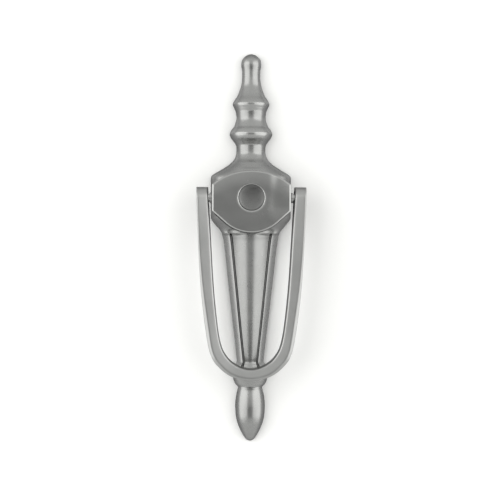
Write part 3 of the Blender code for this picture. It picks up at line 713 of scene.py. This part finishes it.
def bail_section(outer, inner):
    z = float(outer[1])
    back, front = float(bail_back(min(z, PIVOT_Z))), BAIL_FRONT
    if z > PIVOT_Z:
        reach = math.sqrt(max(EYE_RADIUS**2 - (z - PIVOT_Z) ** 2, 1e-6))
        back, front = PIVOT_DEPTH - reach, PIVOT_DEPTH + reach
    scale = min(1.0, (front - back) / (2 * EYE_RADIUS))
    span = np.array(inner) - np.array(outer)
    length = float(np.linalg.norm(span))
    way = span / length
    chamfer, inside, ease = float(bail_chamfer(z)), BAIL_INNER_CHAMFER, 0.5
    flat_start, flat_end = chamfer, length - BAIL_DRAFT - inside

    def face(s):
        gone = max(s - flat_start - LEVEL_STRIP, 0.0)
        return front - 0.05 * scale - gone * (BAIL_LEAN + BAIL_LEAN_GAIN * gone) * scale

    corners = [
        (ease, back),
        (0.0, back + ease * scale),
        (0.0, front - chamfer * 0.8 * scale),
        (flat_start, face(flat_start)),
        (flat_end, face(flat_end)),
        (length - BAIL_DRAFT, face(flat_end) - inside * 0.9 * scale),
        (length, back + ease * scale),
        (length - ease, back),
    ]
    section = []
    for k, (here, soft) in enumerate(zip(corners, BAIL_SOFT)):
        before, after = np.array(corners[k - 1]), np.array(corners[(k + 1) % 8])
        here, cut = np.array(here), soft * max(scale, 0.05)
        start, end = toward(here, before, cut, 0.4), toward(here, after, cut, 0.4)
        section += bend_round(start, here, end, 3)
        if k == 3:
            level_end = flat_start + LEVEL_STRIP
            section += [np.array([s, face(s)]) for s in (level_end - 0.08, level_end, level_end + 0.08)]
            for s in np.linspace(level_end + 0.1, flat_end - 0.22 * scale, 8)[1:-1]:
                section.append(np.array([s, face(s)]))
    return [(outer[0] + way[0] * s, -d, outer[1] + way[1] * s) for s, d in section]


def edge_gap(x, z, edge):
    """How far points are from the bail's outer edge, given as (x, z) down its right half."""
    whole = np.concatenate([edge, edge[::-1] * (-1, 1)])
    return edge_distance(x, z, whole)


def build_bail():
    outer, inner = bail_edges()
    right = [bail_section(o, i) for o, i in zip(outer, inner)]
    left = [[(-x, y, z) for x, y, z in ring] for ring in reversed(right[:-1])]
    bail = loft("bail_casting", clamp_to_box(np.array(right + left)), sharp=40.0)
    cutters = []
    for side, sign in SIDES:
        start, end = sign * 15.0, sign * (BUSH_OUTER + GAP)
        cutters.append(rod("bush_hole_" + side, BUSH_RADIUS + GAP, start, end, PIVOT, "X"))
    end = -(STUD_END + GAP)
    cutters.append(bore("stud_hole", STUD_SHANK + GAP, -5.0, end, STRIKE_Z, 32))
    carve(bail, cutters, 40.0)
    x, y, z = coordinates(bail).T
    edges = np.stack([np.array(outer), np.array(inner)])
    # Painted highlight along the outer edge, a painted shade line just inside the chamfer, and painted shade
    # on the bail's rear part.
    rub_and_highlight = np.exp(-((edge_gap(x, z, edges[0]) - 0.2) / 0.35) ** 2) * ramp(-14.0, -18.0, y)
    tag(bail, "polish_and_highlight", 0.15 * rub_and_highlight)
    gap = edge_gap(x, z, edges[0]) - bail_chamfer(z) - 0.3
    shade_line = np.exp(-((gap / 0.4) ** 2)) * ramp(-14.0, -18.0, y) * (0.35 + 0.65 * ramp(8.0, -12.0, z))
    tag(bail, "shade_and_dull", np.maximum(ramp(-14.5, -12.5, y) * 0.5, shade_line))
    return bail


# ---- hardware
def thread(pitch, depth, start, end, turned_on=True):
    """A ripple that cuts a screw thread into a shank between two positions."""
    low, high = min(start, end), max(start, end)

    def ripple(radius, position, angle):
        phase = (position / pitch - angle / (2 * math.pi)) % 1.0
        tooth = np.abs(phase * 2 - 1)
        tooth = np.clip(tooth * 1.25 - 0.1, 0, 1)
        fade = ramp(low, low + pitch, position) * ramp(high, high - pitch, position)
        return (-depth if turned_on else depth) * (1 - tooth) * fade

    return ripple


def fine_line(start, end, step):
    count = max(2, math.ceil(abs(end - start) / step))
    return [float(p) for p in np.linspace(start, end, count + 1)]


def build_viewer():
    front, back = -BLANK_FRONT, -(BLANK_FRONT - BLANK_THICK)
    r = VIEWER_RADIUS - 0.03
    face = [(k * 0.28, front + BLANK_DISH * (1 - (k * 0.28 / r) ** 2)) for k in range(20)]
    rim = soften([(r - 0.4, front + 0.07), (r - 0.2, front + 0.01), (r - 0.05, front), (r, front + 0.05),
                  (r, back)], 0.03)
    under = soften([(r, back), (STEM_RADIUS + 0.25, back), (STEM_RADIUS, back + 0.25)], 0.1)
    shank = [(STEM_RADIUS, p) for p in fine_line(back + 0.4, -STEM_END - 0.5, 0.4)]
    catch = soften([(STEM_RADIUS, -STEM_END - 0.45), (STEM_RADIUS - 0.4, -STEM_END), (0, -STEM_END)], 0.1)
    blank = turned("viewer_cap", face + rim[1:-1] + under + shank + catch, (0, 0, VIEWER_Z), "Y", 96)
    hole = STEM_RADIUS + GAP
    inner_rows = [(hole, -5.58), (hole + 0.9, -5.45), (hole + 1.7, -5.28), (hole + 2.2, -5.25)]
    profile = inner_rows + [(CLIP_RADIUS - 0.3, -5.25), (CLIP_RADIUS, -5.15), (CLIP_RADIUS, -4.98),
                            (CLIP_RADIUS - 0.08, -4.92), (hole + 2.2, -4.92)]
    profile += [(hole + 1.7, -4.96), (hole + 0.9, -5.12), (hole, -5.3)]

    def fingers(radius, position, angle):
        slot = np.abs(((angle / (2 * math.pi) * 8) % 1.0) - 0.5) < 0.13
        return np.where(slot & (radius < hole + 2.0), hole + 2.05 - radius, 0.0)

    clip = turned("star_clip", profile, (0, 0, VIEWER_Z), "Y", 144, fingers)
    return blank, clip


def build_pin(side, sign):
    centre, r = PIVOT, PIN_RADIUS
    marks = [(0, PIN_INNER), (r - 0.3, PIN_INNER), (r, PIN_INNER + 0.3), (r, 13.4), (r - 0.22, 13.65),
             (r - 0.22, 15.35), (r, 15.6), (r, 19.2), (r, PIN_OUTER - 0.35), (r - 0.35, PIN_OUTER),
             (0, PIN_OUTER)]
    profile = [(p[0], p[1] * sign) for p in soften(marks, 0.14)]
    pin = turned("hinge_pin_" + side, profile, centre, "X", 72)
    hole = r + GAP
    ring = [(SPACER_RADIUS, sign * SPACER_INNER), (SPACER_RADIUS, sign * SPACER_OUTER),
            (hole, sign * SPACER_OUTER), (hole, sign * SPACER_INNER)]
    washer = turned("washer_" + side, ring, centre, "X", 72, soft=0.07)
    ends = sign * BUSH_INNER, sign * BUSH_OUTER
    ring = [(BUSH_RADIUS, ends[0]), (BUSH_RADIUS, ends[1]), (BUSH_BORE, ends[1]), (BUSH_BORE, ends[0])]
    sleeve = turned("sleeve_" + side, ring, centre, "X", 72, soft=0.16)
    tip = -(PIVOT_DEPTH - PIN_RADIUS - GAP)
    start = -BOSS_BACK - 0.2
    g = GRUB_RADIUS
    rows = [(0, start), (g - 0.28, start), (g, start - 0.28)]
    rows += [(g, p) for p in fine_line(start - 0.3, tip + 0.4, 0.06)] + [(g - 0.55, tip), (0, tip)]
    grub = turned("set_screw_" + side, rows, (sign * GRUB_X, 0, PIVOT_Z), "Y", 48,
                  thread(0.5, 0.24, start - 0.1, tip + 0.2))
    turns = [math.radians(60 * k) for k in range(6)]
    hexagon = [(HEX_RADIUS * math.cos(a), HEX_RADIUS * math.sin(a)) for a in turns]
    carve(grub, [prism("hex", hexagon, -start - 0.5, -start + 1.4, (sign * GRUB_X, PIVOT_Z))])
    return pin, washer, sleeve, grub


def build_housing_screw(name, z):
    head, under = -(POCKET_ROOF - GAP - 2.0), -(POCKET_ROOF - GAP)
    dome = [(SCREW_HEAD * math.sin(a), head - 0.75 * (1 - math.cos(a)) / (1 - math.cos(1.35)))
            for a in np.linspace(0, 1.35, 14)]
    scale = SCREW_HEAD / dome[-1][0]
    dome = [(r * scale, p) for r, p in dome]
    rest = [(SCREW_HEAD, under + 0.15), (SCREW_HEAD - 0.15, under), (SCREW_SHANK + 0.12, under),
            (SCREW_SHANK, under - 0.12)]
    shank = [(SCREW_SHANK, p) for p in fine_line(under - 0.2, -SCREW_END + 0.5, 0.06)]
    tip = [(SCREW_SHANK - 0.45, -SCREW_END), (0, -SCREW_END)]
    screw = turned("housing_screw_" + name, dome + rest + shank + tip, (0, 0, z), "Y", 48,
                   thread(0.5, 0.25, under - 0.3, -SCREW_END + 0.2))
    a, b = 0.36, 1.45
    cross = [(a, a), (a, b), (-a, b), (-a, a), (-b, a), (-b, -a),
             (-a, -a), (-a, -b), (a, -b), (a, -a), (b, -a), (b, a)]
    carve(screw, [prism("cross", cross, -head - 0.6, -head + 1.25, (0, z), 0.55)])
    return screw


def build_insert(name, z, length):
    start, end = -(RIM_BACK + GAP), -(RIM_BACK + GAP + length)
    r, bore = INSERT_RADIUS, INSERT_BORE
    outside = [(r - 0.25, start), (r, start - 0.25)]
    outside += [(r, p) for p in fine_line(start - 0.3, end + 0.3, 0.10)]
    outside += [(r, end + 0.25), (r - 0.25, end)]
    inside = [(bore + 0.3, end), (bore, end + 0.3)]
    inside += [(bore, p) for p in fine_line(end + 0.35, start - 0.55, 0.10)]
    inside += [(bore, start - 0.5), (bore + 0.5, start)]
    middle = (start + end) / 2

    def pattern(radius, position, angle):
        knurl_a = np.abs(((angle / (2 * math.pi) * 30 + position / 1.3) % 1.0) - 0.5)
        knurl_b = np.abs(((angle / (2 * math.pi) * 30 - position / 1.3) % 1.0) - 0.5)
        fade = ramp(start, start - 0.5, position) * ramp(end, end + 0.5, position)
        waist = 1 - np.exp(-((position - middle) / 0.35) ** 4)
        outer = -(0.18 * (np.clip(1 - 4 * knurl_a, 0, 1) + np.clip(1 - 4 * knurl_b, 0, 1)) * waist
                  + 0.3 * (1 - waist)) * fade
        phase = np.abs(((position / 0.8 - angle / (2 * math.pi)) % 1.0) * 2 - 1)
        inner = 0.30 * phase * ramp(start - 0.4, start - 1.0, position) * ramp(end + 0.3, end + 0.9, position)
        return np.where(radius > (r + bore) / 2, outer, inner)

    return turned("threaded_insert_" + name, outside + inside, (0, 0, z), "Y", 120, pattern)


def build_strike():
    centre = (0, 0, STRIKE_Z)
    r = PAD_RADIUS
    rows = [(0, -PAD_BACK - GAP), (r - 0.2, -PAD_BACK - GAP), (r, -PAD_BACK - GAP - 0.2)]
    rows += soften([(r, -PAD_BACK - GAP - 0.4), (r, -PAD_FRONT + 0.25), (r - 0.5, -PAD_FRONT),
                    (1.2, -PAD_FRONT)], 0.3)
    rows += [(0.9, -PAD_FRONT + 0.06), (0, -PAD_FRONT + 0.09)]
    pad = turned("strike_buffer", rows, centre, "Y", 72)
    under = -(12.0 - GAP)
    s = STUD_RADIUS
    dome = [(s * 0.86 * k / 9, -STUD_TIP - 0.16 * (k / 9) ** 2) for k in range(10)]
    side = soften([(s * 0.86, -STUD_TIP - 0.16), (s, -STUD_TIP - 0.5), (s, under), (STUD_SHANK, under)], 0.15)
    shank = [(STUD_SHANK, -STUD_END + 0.2), (STUD_SHANK - 0.2, -STUD_END), (0, -STUD_END)]
    stud = turned("strike_stud", dome[:-1] + side + shank, centre, "Y", 72)
    return pad, stud


def build_gasket():
    tip = GASKET_TIP
    heights = [tip] + [tip - 3 * (k / 8) ** 1.6 for k in range(1, 8)]
    heights += spaced(95.6, -95.6, 0.9) + [-tip + 3 * (k / 8) ** 1.6 for k in range(8, 0, -1)] + [-tip]
    rings = []
    for z in heights:
        width = float(outline(z)) - GASKET_INSET
        edge = GASKET_EDGE
        half = [(width, -GASKET_THICK + edge), (width - edge, -GASKET_THICK)]
        across = [(width - edge) * math.cos(math.pi * k / 12) for k in range(1, 12)]
        top = [(-x, y) for x, y in half] + [(-x, -GASKET_THICK) for x in across] + half[::-1]
        bottom = [(width, -edge), (width - edge, 0.0)] + [(x, 0.0) for x in across]
        bottom += [(-width + edge, 0.0), (-width, -edge)]
        rings.append([(x, y, z) for x, y in top + bottom])
    gasket = loft("foam_backing", clamp_to_box(np.array(rings)))
    holes = [("hole_viewer", VIEWER_Z, VIEWER_RADIUS + 1.5)]
    holes += [("hole_" + name, z, INSERT_RADIUS + 0.6) for name, (z, length) in INSERTS.items()]
    carve(gasket, [bore(name, radius, 3.0, -3.0, z, 72) for name, z, radius in holes])
    return gasket


# ---- finishes
class Finish:
    """A Principled material that is wired up by short calls."""

    def __init__(self, name):
        self.material = bpy.data.materials.new(name)
        self.material.use_nodes = True
        self.tree = self.material.node_tree
        self.shader = self.tree.nodes["Principled BSDF"]
        self.place = self.add("ShaderNodeTexCoord").outputs["Object"]

    def add(self, kind, **settings):
        made = self.tree.nodes.new(kind)
        for key, value in settings.items():
            setattr(made, key, value)
        return made

    def plug(self, socket, value):
        """Sets a socket to a value, or links another node's output to it."""
        if isinstance(value, bpy.types.NodeSocket):
            self.tree.links.new(value, socket)
        else:
            socket.default_value = value

    def feed(self, node, *values):
        """Plugs the values into a node's first inputs, in order."""
        for socket, value in zip(node.inputs, values):
            self.plug(socket, value)
        return node

    def put(self, name, value):
        self.plug(self.shader.inputs[name], value)

    def math(self, operation, a, b=0.0, clamp=False):
        node = self.add("ShaderNodeMath", operation=operation, use_clamp=clamp)
        return self.feed(node, a, b).outputs[0]

    def stretched(self, scale):
        node = self.add("ShaderNodeMapping")
        self.tree.links.new(self.place, node.inputs["Vector"])
        node.inputs["Scale"].default_value = scale
        return node.outputs[0]

    def noise(self, scale, detail=2.0, rough=0.5, where=None, distortion=0.0):
        node = self.add("ShaderNodeTexNoise")
        self.tree.links.new(where or self.place, node.inputs["Vector"])
        wanted = {"Scale": scale, "Detail": detail, "Roughness": rough, "Distortion": distortion}
        for key, value in wanted.items():
            node.inputs[key].default_value = value
        return node.outputs["Fac"]

    def span(self, value, low, high, new_low, new_high):
        node = self.add("ShaderNodeMapRange")
        return self.feed(node, value, low, high, new_low, new_high).outputs[0]

    def mix(self, factor, a, b):
        node = self.add("ShaderNodeMix", data_type="RGBA")
        for key, value in (("Factor", factor), ("A", a), ("B", b)):
            self.plug(next(s for s in node.inputs if s.name == key and s.enabled), value)
        return [s for s in node.outputs if s.enabled][0]

    def bump(self, height, distance, strength=1.0, under=None):
        node = self.add("ShaderNodeBump")
        node.inputs["Strength"].default_value = strength
        node.inputs["Distance"].default_value = distance
        self.tree.links.new(height, node.inputs["Height"])
        if under:
            self.tree.links.new(under, node.inputs["Normal"])
        return node.outputs[0]

    def tagged(self, name):
        return self.add("ShaderNodeAttribute", attribute_name=name).outputs["Fac"]


def grey(level, tint=(0.995, 1.0, 0.985)):
    return (level * tint[0], level * tint[1], level * tint[2], 1.0)


EDGE_TINT = 0.5


def satin_metal(name, level, rough, spread=0.03, grain=0.3, brush=(1.0, 1.0, 0.12), tags=True,
                polish_rough=0.22):
    """Cast metal with a satin plate: cloudy colour and roughness, brushing along one way, fine grain, painted
    shade with duller roughness where tagged, and painted highlights with smoother roughness on tagged edges."""
    f = Finish(name)
    cloud = f.noise(55, 3.0, 0.55, distortion=0.4)
    mottle = f.noise(420, 3.0, 0.6)
    lines = f.noise(1500, 4.0, 0.65, f.stretched(brush))
    speck = f.noise(5200, 2.0, 0.6)
    colour = f.mix(f.span(cloud, 0.3, 0.7, 0, 1), grey(level * 0.955), grey(level * 1.045))
    colour = f.mix(f.span(mottle, 0.35, 0.72, 0.0, 0.14), colour, grey(level * 0.92))
    roughness = f.span(cloud, 0.3, 0.7, rough - spread * 0.6, rough + spread * 0.6)
    roughness = f.math("ADD", roughness, f.span(mottle, 0.3, 0.7, -spread * 0.6, spread * 0.6))
    roughness = f.math("ADD", roughness, f.span(lines, 0.25, 0.75, -spread, spread))
    if tags:
        # Painted light: the first tag darkens the colour as painted shade and dulls it, the second brightens
        # it as a painted highlight and smooths it.
        shade_and_dull, polish_and_highlight = f.tagged("shade_and_dull"), f.tagged("polish_and_highlight")
        ragged_shade = f.math("MULTIPLY", shade_and_dull, f.span(mottle, 0.2, 0.7, 1.15, 0.75), True)
        colour = f.mix(f.math("MULTIPLY", ragged_shade, 0.45), colour, grey(level * 0.42, (0.99, 1.0, 0.99)))
        colour = f.mix(f.math("MULTIPLY", polish_and_highlight, 0.65), colour, grey(level * 1.65))
        roughness = f.math("ADD", roughness, f.math("MULTIPLY", ragged_shade, 0.10))
        away = f.math("SUBTRACT", roughness, polish_rough)
        roughness = f.math("SUBTRACT", roughness, f.math("MULTIPLY", away, f.math("MULTIPLY", polish_and_highlight, 0.6)))
    f.put("Base Color", colour)
    f.put("Metallic", 1.0)
    f.put("Roughness", roughness)
    f.put("Specular Tint", grey(EDGE_TINT, (1.0, 1.0, 1.0)))
    height = f.math("ADD", f.math("MULTIPLY", lines, 0.7), f.math("MULTIPLY", speck, 0.9))
    height = f.math("ADD", height, f.math("MULTIPLY", mottle, 0.3))
    f.put("Normal", f.bump(height, 0.0000022, grain))
    return f.material


def polished_steel(name, level, rough, tint=(1.0, 1.0, 0.99), around=(0.06, 1.0, 1.0), stain=0.15):
    """Machined metal: fine tool lines round its axis, light handling marks."""
    f = Finish(name)
    lines = f.noise(9000, 3.0, 0.6, f.stretched(around))
    smudge = f.noise(260, 4.0, 0.6, distortion=0.8)
    colour = f.mix(f.span(smudge, 0.35, 0.7, 0, 1), grey(level, tint), grey(level * (1 - stain), tint))
    f.put("Base Color", colour)
    f.put("Metallic", 1.0)
    f.put("Roughness", f.math("ADD", f.span(smudge, 0.3, 0.7, rough - 0.03, rough + 0.06),
                              f.span(lines, 0.3, 0.7, -0.03, 0.03)))
    f.put("Normal", f.bump(lines, 0.000002, 0.5))
    return f.material


def moulded_plastic(name, colour, rough, scale=3200):
    """Moulded plastic: an even pebbled skin with faint scuffs."""
    f = Finish(name)
    skin = f.noise(scale, 3.0, 0.6)
    scuff = f.noise(300, 5.0, 0.7, f.stretched((1.0, 1.0, 0.3)), distortion=1.0)
    lighter = tuple(min(1.0, c * 1.5 + 0.01) for c in colour[:3]) + (1.0,)
    f.put("Base Color", f.mix(f.span(scuff, 0.52, 0.75, 0.0, 0.7), colour, lighter))
    f.put("Roughness", f.math("ADD", f.span(skin, 0.3, 0.7, rough - 0.05, rough + 0.05),
                              f.span(scuff, 0.4, 0.7, 0.0, 0.08)))
    f.put("Normal", f.bump(skin, 0.00001, 0.4))
    return f.material


def closed_foam(name, colour):
    """Cellular foam: packed cells with open pores, painted darker as their shade, and a slightly furred
    surface.
    """
    f = Finish(name)
    cells = f.add("ShaderNodeTexVoronoi", feature="F1")
    f.tree.links.new(f.place, cells.inputs["Vector"])
    cells.inputs["Scale"].default_value = 1900
    pores = f.span(cells.outputs["Distance"], 0.0, 0.55, 0.0, 1.0)
    cloud = f.noise(120, 4.0, 0.6)
    dark = tuple(c * 0.35 for c in colour[:3]) + (1.0,)
    light = tuple(c * 1.5 for c in colour[:3]) + (1.0,)
    body = f.mix(f.span(cloud, 0.3, 0.7, 0, 1), colour, light)
    # Painted shade: the pores are darkened.
    f.put("Base Color", f.mix(f.span(pores, 0.0, 0.6, 1.0, 0.0), body, dark))
    f.put("Roughness", f.span(cloud, 0.3, 0.7, 0.86, 0.97))
    f.put("Sheen Weight", 0.25)
    f.put("Sheen Roughness", 0.6)
    height = f.math("ADD", pores, f.math("MULTIPLY", f.noise(6000, 2.0, 0.6), 0.4))
    f.put("Normal", f.bump(height, 0.00012, 0.8))
    return f.material


FINISHES = {
    "satin_casting": satin_metal("finish_satin_plate", 0.385, 0.285),
    "housing": satin_metal("finish_satin_housing", 0.32, 0.23, grain=0.25, brush=(0.5, 1.0, 0.5)),
    "satin_bail": satin_metal("finish_satin_bail", 0.43, 0.35, grain=0.5, brush=(1.0, 1.0, 0.2),
                              polish_rough=0.28),
    "dark_blank": satin_metal("finish_cap", 0.215, 0.30, spread=0.05, tags=False, brush=(1.0, 1.0, 1.0)),
    "steel": polished_steel("finish_steel", 0.62, 0.20),
    "washer": polished_steel("finish_washer", 0.52, 0.30, around=(1.0, 0.3, 0.3)),
    "spring_steel": polished_steel("finish_spring_steel", 0.17, 0.38, (0.95, 0.97, 1.05), (1, 1, 0.2)),
    "zinc_screw": polished_steel("finish_zinc", 0.60, 0.30, (1.0, 1.0, 0.93), (1, 0.2, 1), 0.25),
    "brass": polished_steel("finish_brass", 0.72, 0.30, (1.0, 0.74, 0.33), (1, 0.2, 1), 0.3),
    "acetal": moulded_plastic("finish_acetal", (0.045, 0.045, 0.047, 1.0), 0.42),
    "foam": closed_foam("finish_foam", (0.030, 0.030, 0.031, 1.0)),
}


def place(piece, body, node, slot, finish=None):
    piece.data.materials.clear()
    piece.data.materials.append(FINISHES[finish or slot])
    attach(piece, body)
    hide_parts(node)


def build_object():
    place(build_plate(), "plate", "backplate", "satin_casting")
    place(build_boss(), "plate", "boss_housing", "satin_casting", "housing")
    blank, clip = build_viewer()
    place(blank, "plate", "viewer_blank", "dark_blank")
    place(clip, "plate", "viewer_clip", "spring_steel")
    for side, sign in SIDES:
        pin, washer, sleeve, grub = build_pin(side, sign)
        place(pin, "plate", "pivot_pin_" + side, "steel")
        place(washer, "plate", "pivot_spacer_" + side, "steel", "washer")
        place(sleeve, "bail", "bail_bush_" + side, "acetal")
        place(grub, "plate", "pin_grub_" + side, "zinc_screw")
    for name, z in SCREW_HEIGHTS.items():
        place(build_housing_screw(name, z), "plate", "boss_screw_" + name, "zinc_screw")
    for name, (z, length) in INSERTS.items():
        place(build_insert(name, z, length), "plate", "insert_" + name, "brass")
    pad, stud = build_strike()
    place(pad, "plate", "strike_pad", "acetal")
    place(stud, "bail", "striker_stud", "steel")
    place(build_gasket(), "plate", "back_gasket", "foam")
    place(build_bail(), "bail", "bail", "satin_bail")


# ---- stage, light and camera
WALL_GAP = 0.0003
WALL_HALF, FLOOR_HALF = 2.0, 3.0
FLOOR_Z = -0.6
# How bright each paper is, and how much it glows.
WALL_PAPER, FLOOR_PAPER = (0.88, 0.04), (0.80, 0.10)


def stage_plane(name, corners):
    mesh = bpy.data.meshes.new(name)
    mesh.from_pydata(corners, [], [(0, 1, 2, 3)])
    plane = bpy.data.objects.new(name, mesh)
    bpy.context.scene.collection.objects.link(plane)
    plane.visible_glossy = False
    plane.visible_diffuse = False
    plane.visible_shadow = False
    return plane


def paper(name, level, glow, one_sided):
    """Matt white paper. One-sided paper isn't there from behind."""
    f = Finish(name)
    fibre = f.noise(900, 4.0, 0.6)
    light, dark = grey(level, (1, 1, 0.992)), grey(level * 0.99, (1, 1, 0.988))
    f.put("Base Color", f.mix(f.span(fibre, 0.3, 0.7, 0, 1), light, dark))
    f.put("Roughness", 0.9)
    f.put("Specular IOR Level", 0.0)
    f.put("Emission Color", (1.0, 1.0, 0.99, 1.0))
    f.put("Emission Strength", glow)
    if one_sided:
        output = f.tree.nodes["Material Output"]
        clear = f.add("ShaderNodeBsdfTransparent")
        choose = f.add("ShaderNodeMixShader")
        f.tree.links.new(f.add("ShaderNodeNewGeometry").outputs["Backfacing"], choose.inputs[0])
        f.tree.links.new(f.shader.outputs[0], choose.inputs[1])
        f.tree.links.new(clear.outputs[0], choose.inputs[2])
        f.tree.links.new(choose.outputs[0], output.inputs["Surface"])
    return f.material


def build_stage():
    w, f = WALL_HALF, FLOOR_HALF
    wall = stage_plane("wall", [(x, WALL_GAP, z) for x, z in ((-w, FLOOR_Z), (w, FLOOR_Z), (w, w), (-w, w))])
    wall.data.materials.append(paper("finish_wall", *WALL_PAPER, True))
    floor = stage_plane("floor", [(x, y, FLOOR_Z) for x, y in ((-f, -f), (f, -f), (f, f), (-f, f))])
    floor.data.materials.append(paper("finish_floor", *FLOOR_PAPER, False))


# Each light's name, degrees to the right of the front, rise, distance, size, brightness, and whether it is
# mirrored in the metal.
SOFTBOXES = (
    ("softbox_left", -57.2, 0.0, 0.8, (1.12, 0.98), 1.10, True),
    ("softbox_right", 54.5, 0.0, 0.8, (1.12, 0.98), 1.10, True),
    ("paper_light_left", -50, 8, 0.8, (1.0, 0.98), 0.80, False),
    ("paper_light_right", 60, 8, 0.8, (1.0, 0.98), 0.20, False),
    ("softbox_back_left", -140, 25, 1.2, (0.8, 0.8), 0.4, True),
    ("softbox_back_right", 140, 25, 1.2, (0.8, 0.8), 0.4, True),
)


def softbox(name, direction, distance, size, radiance):
    """A soft area light that faces the object from a direction, with a given brightness per area."""
    data = bpy.data.lights.new(name, "AREA")
    data.shape = "RECTANGLE"
    data.size, data.size_y = size
    data.energy = radiance * math.pi * size[0] * size[1]
    data.color = (1.0, 1.0, 0.99)
    light = bpy.data.objects.new(name, data)
    bpy.context.scene.collection.objects.link(light)
    way = Vector(direction).normalized()
    light.location = way * distance
    light.rotation_euler = way.to_track_quat("Z", "Y").to_euler()
    light.visible_camera = False
    return light


def around(angle, rise=0.0):
    """The direction that lies angle degrees off the front, to the right if positive, and rise degrees up."""
    a, e = math.radians(angle), math.radians(rise)
    return (math.sin(a) * math.cos(e), -math.cos(a) * math.cos(e), math.sin(e))


# How bright the room is at each rise above the level, in degrees: in front, then aside.
# BEHIND is how bright it is behind the object, at its side and at its back.
SKY = ((-90, 0.70), (-60, 0.84), (-32, 0.84), (-25, 0.55), (-19, 0.13), (-11, 0.12), (-4, 0.40),
       (0, 0.50), (8, 0.64), (20, 0.82), (50, 0.84), (90, 0.76))
SKY_ASIDE = ((-90, 0.70), (-40, 0.84), (-10, 0.60), (8, 0.64), (20, 0.80), (50, 0.84), (90, 0.76))
BEHIND = (0.54, 0.44)
SEEN_WHITE = (0.93, 0.93, 0.925, 1.0)


def build_light():
    for name, side, rise, distance, size, radiance, mirrored in SOFTBOXES:
        softbox(name, around(side, rise), distance, size, radiance).visible_glossy = mirrored


def build_world():
    """Light that depends on the way a ray goes. The camera itself sees plain white."""
    world = bpy.data.worlds.new("studio")
    bpy.context.scene.world = world
    world.use_nodes = True
    tree = world.node_tree
    tree.nodes.clear()
    new, link = tree.nodes.new, tree.links.new

    def remap(source, *limits):
        node = new("ShaderNodeMapRange")
        link(source, node.inputs[0])
        for k, value in enumerate(limits):
            node.inputs[k + 1].default_value = value
        return node.outputs[0]

    def sky(height, levels):
        node = new("ShaderNodeValToRGB")
        link(height, node.inputs[0])
        elements = node.color_ramp.elements
        while len(elements) < len(levels):
            elements.new(0.5)
        for element, (rise, level) in zip(elements, levels):
            element.position = (math.sin(math.radians(rise)) + 1) / 2
            element.color = grey(level)
        return node.outputs[0]

    def blend(factor, a, b):
        node = new("ShaderNodeMix")
        node.data_type = "RGBA"
        link(factor, node.inputs["Factor"])
        link(a, node.inputs[6])
        link(b, node.inputs[7])
        return node.outputs[2]

    way = new("ShaderNodeSeparateXYZ")
    link(new("ShaderNodeTexCoord").outputs["Generated"], way.inputs[0])
    height, depth = remap(way.outputs["Z"], -1.0, 1.0, 0.0, 1.0), way.outputs["Y"]
    ahead = blend(remap(depth, -0.85, -0.45, 0.0, 1.0), sky(height, SKY), sky(height, SKY_ASIDE))
    both = blend(remap(depth, -0.1, 0.35, 0.0, 1.0), ahead, remap(depth, 0.35, 1.0, *BEHIND))
    lit, seen = new("ShaderNodeBackground"), new("ShaderNodeBackground")
    link(both, lit.inputs[0])
    seen.inputs[0].default_value = SEEN_WHITE
    choose = new("ShaderNodeMixShader")
    link(new("ShaderNodeLightPath").outputs["Is Camera Ray"], choose.inputs[0])
    link(lit.outputs[0], choose.inputs[1])
    link(seen.outputs[0], choose.inputs[2])
    link(choose.outputs[0], new("ShaderNodeOutputWorld").inputs[0])


CAMERA_DISTANCE = 0.80
CAMERA_SIDE = -0.017
CAMERA_ROLL = 0.21
FRAME_HEIGHT = 0.253
SENSOR_WIDTH = 36.0
AIM = Vector((-0.0007, -0.021, -0.00134))


def build_camera():
    data = bpy.data.cameras.new("camera")
    camera = bpy.data.objects.new("camera", data)
    bpy.context.scene.collection.objects.link(camera)
    data.sensor_width = SENSOR_WIDTH
    data.lens = SENSOR_WIDTH * CAMERA_DISTANCE / FRAME_HEIGHT
    camera.location = AIM + Vector((CAMERA_SIDE, -CAMERA_DISTANCE, 0.0))
    aim = (AIM - camera.location).to_track_quat("-Z", "Y")
    camera.rotation_euler = (aim @ Quaternion((0.0, 0.0, 1.0), math.radians(CAMERA_ROLL))).to_euler()
    data.clip_start, data.clip_end = 0.01, 20.0
    bpy.context.scene.camera = camera


build_object()
build_stage()
build_light()
build_world()
build_camera()
bpy.context.scene.view_settings.view_transform = "Standard"
bpy.context.scene.view_settings.look = "None"
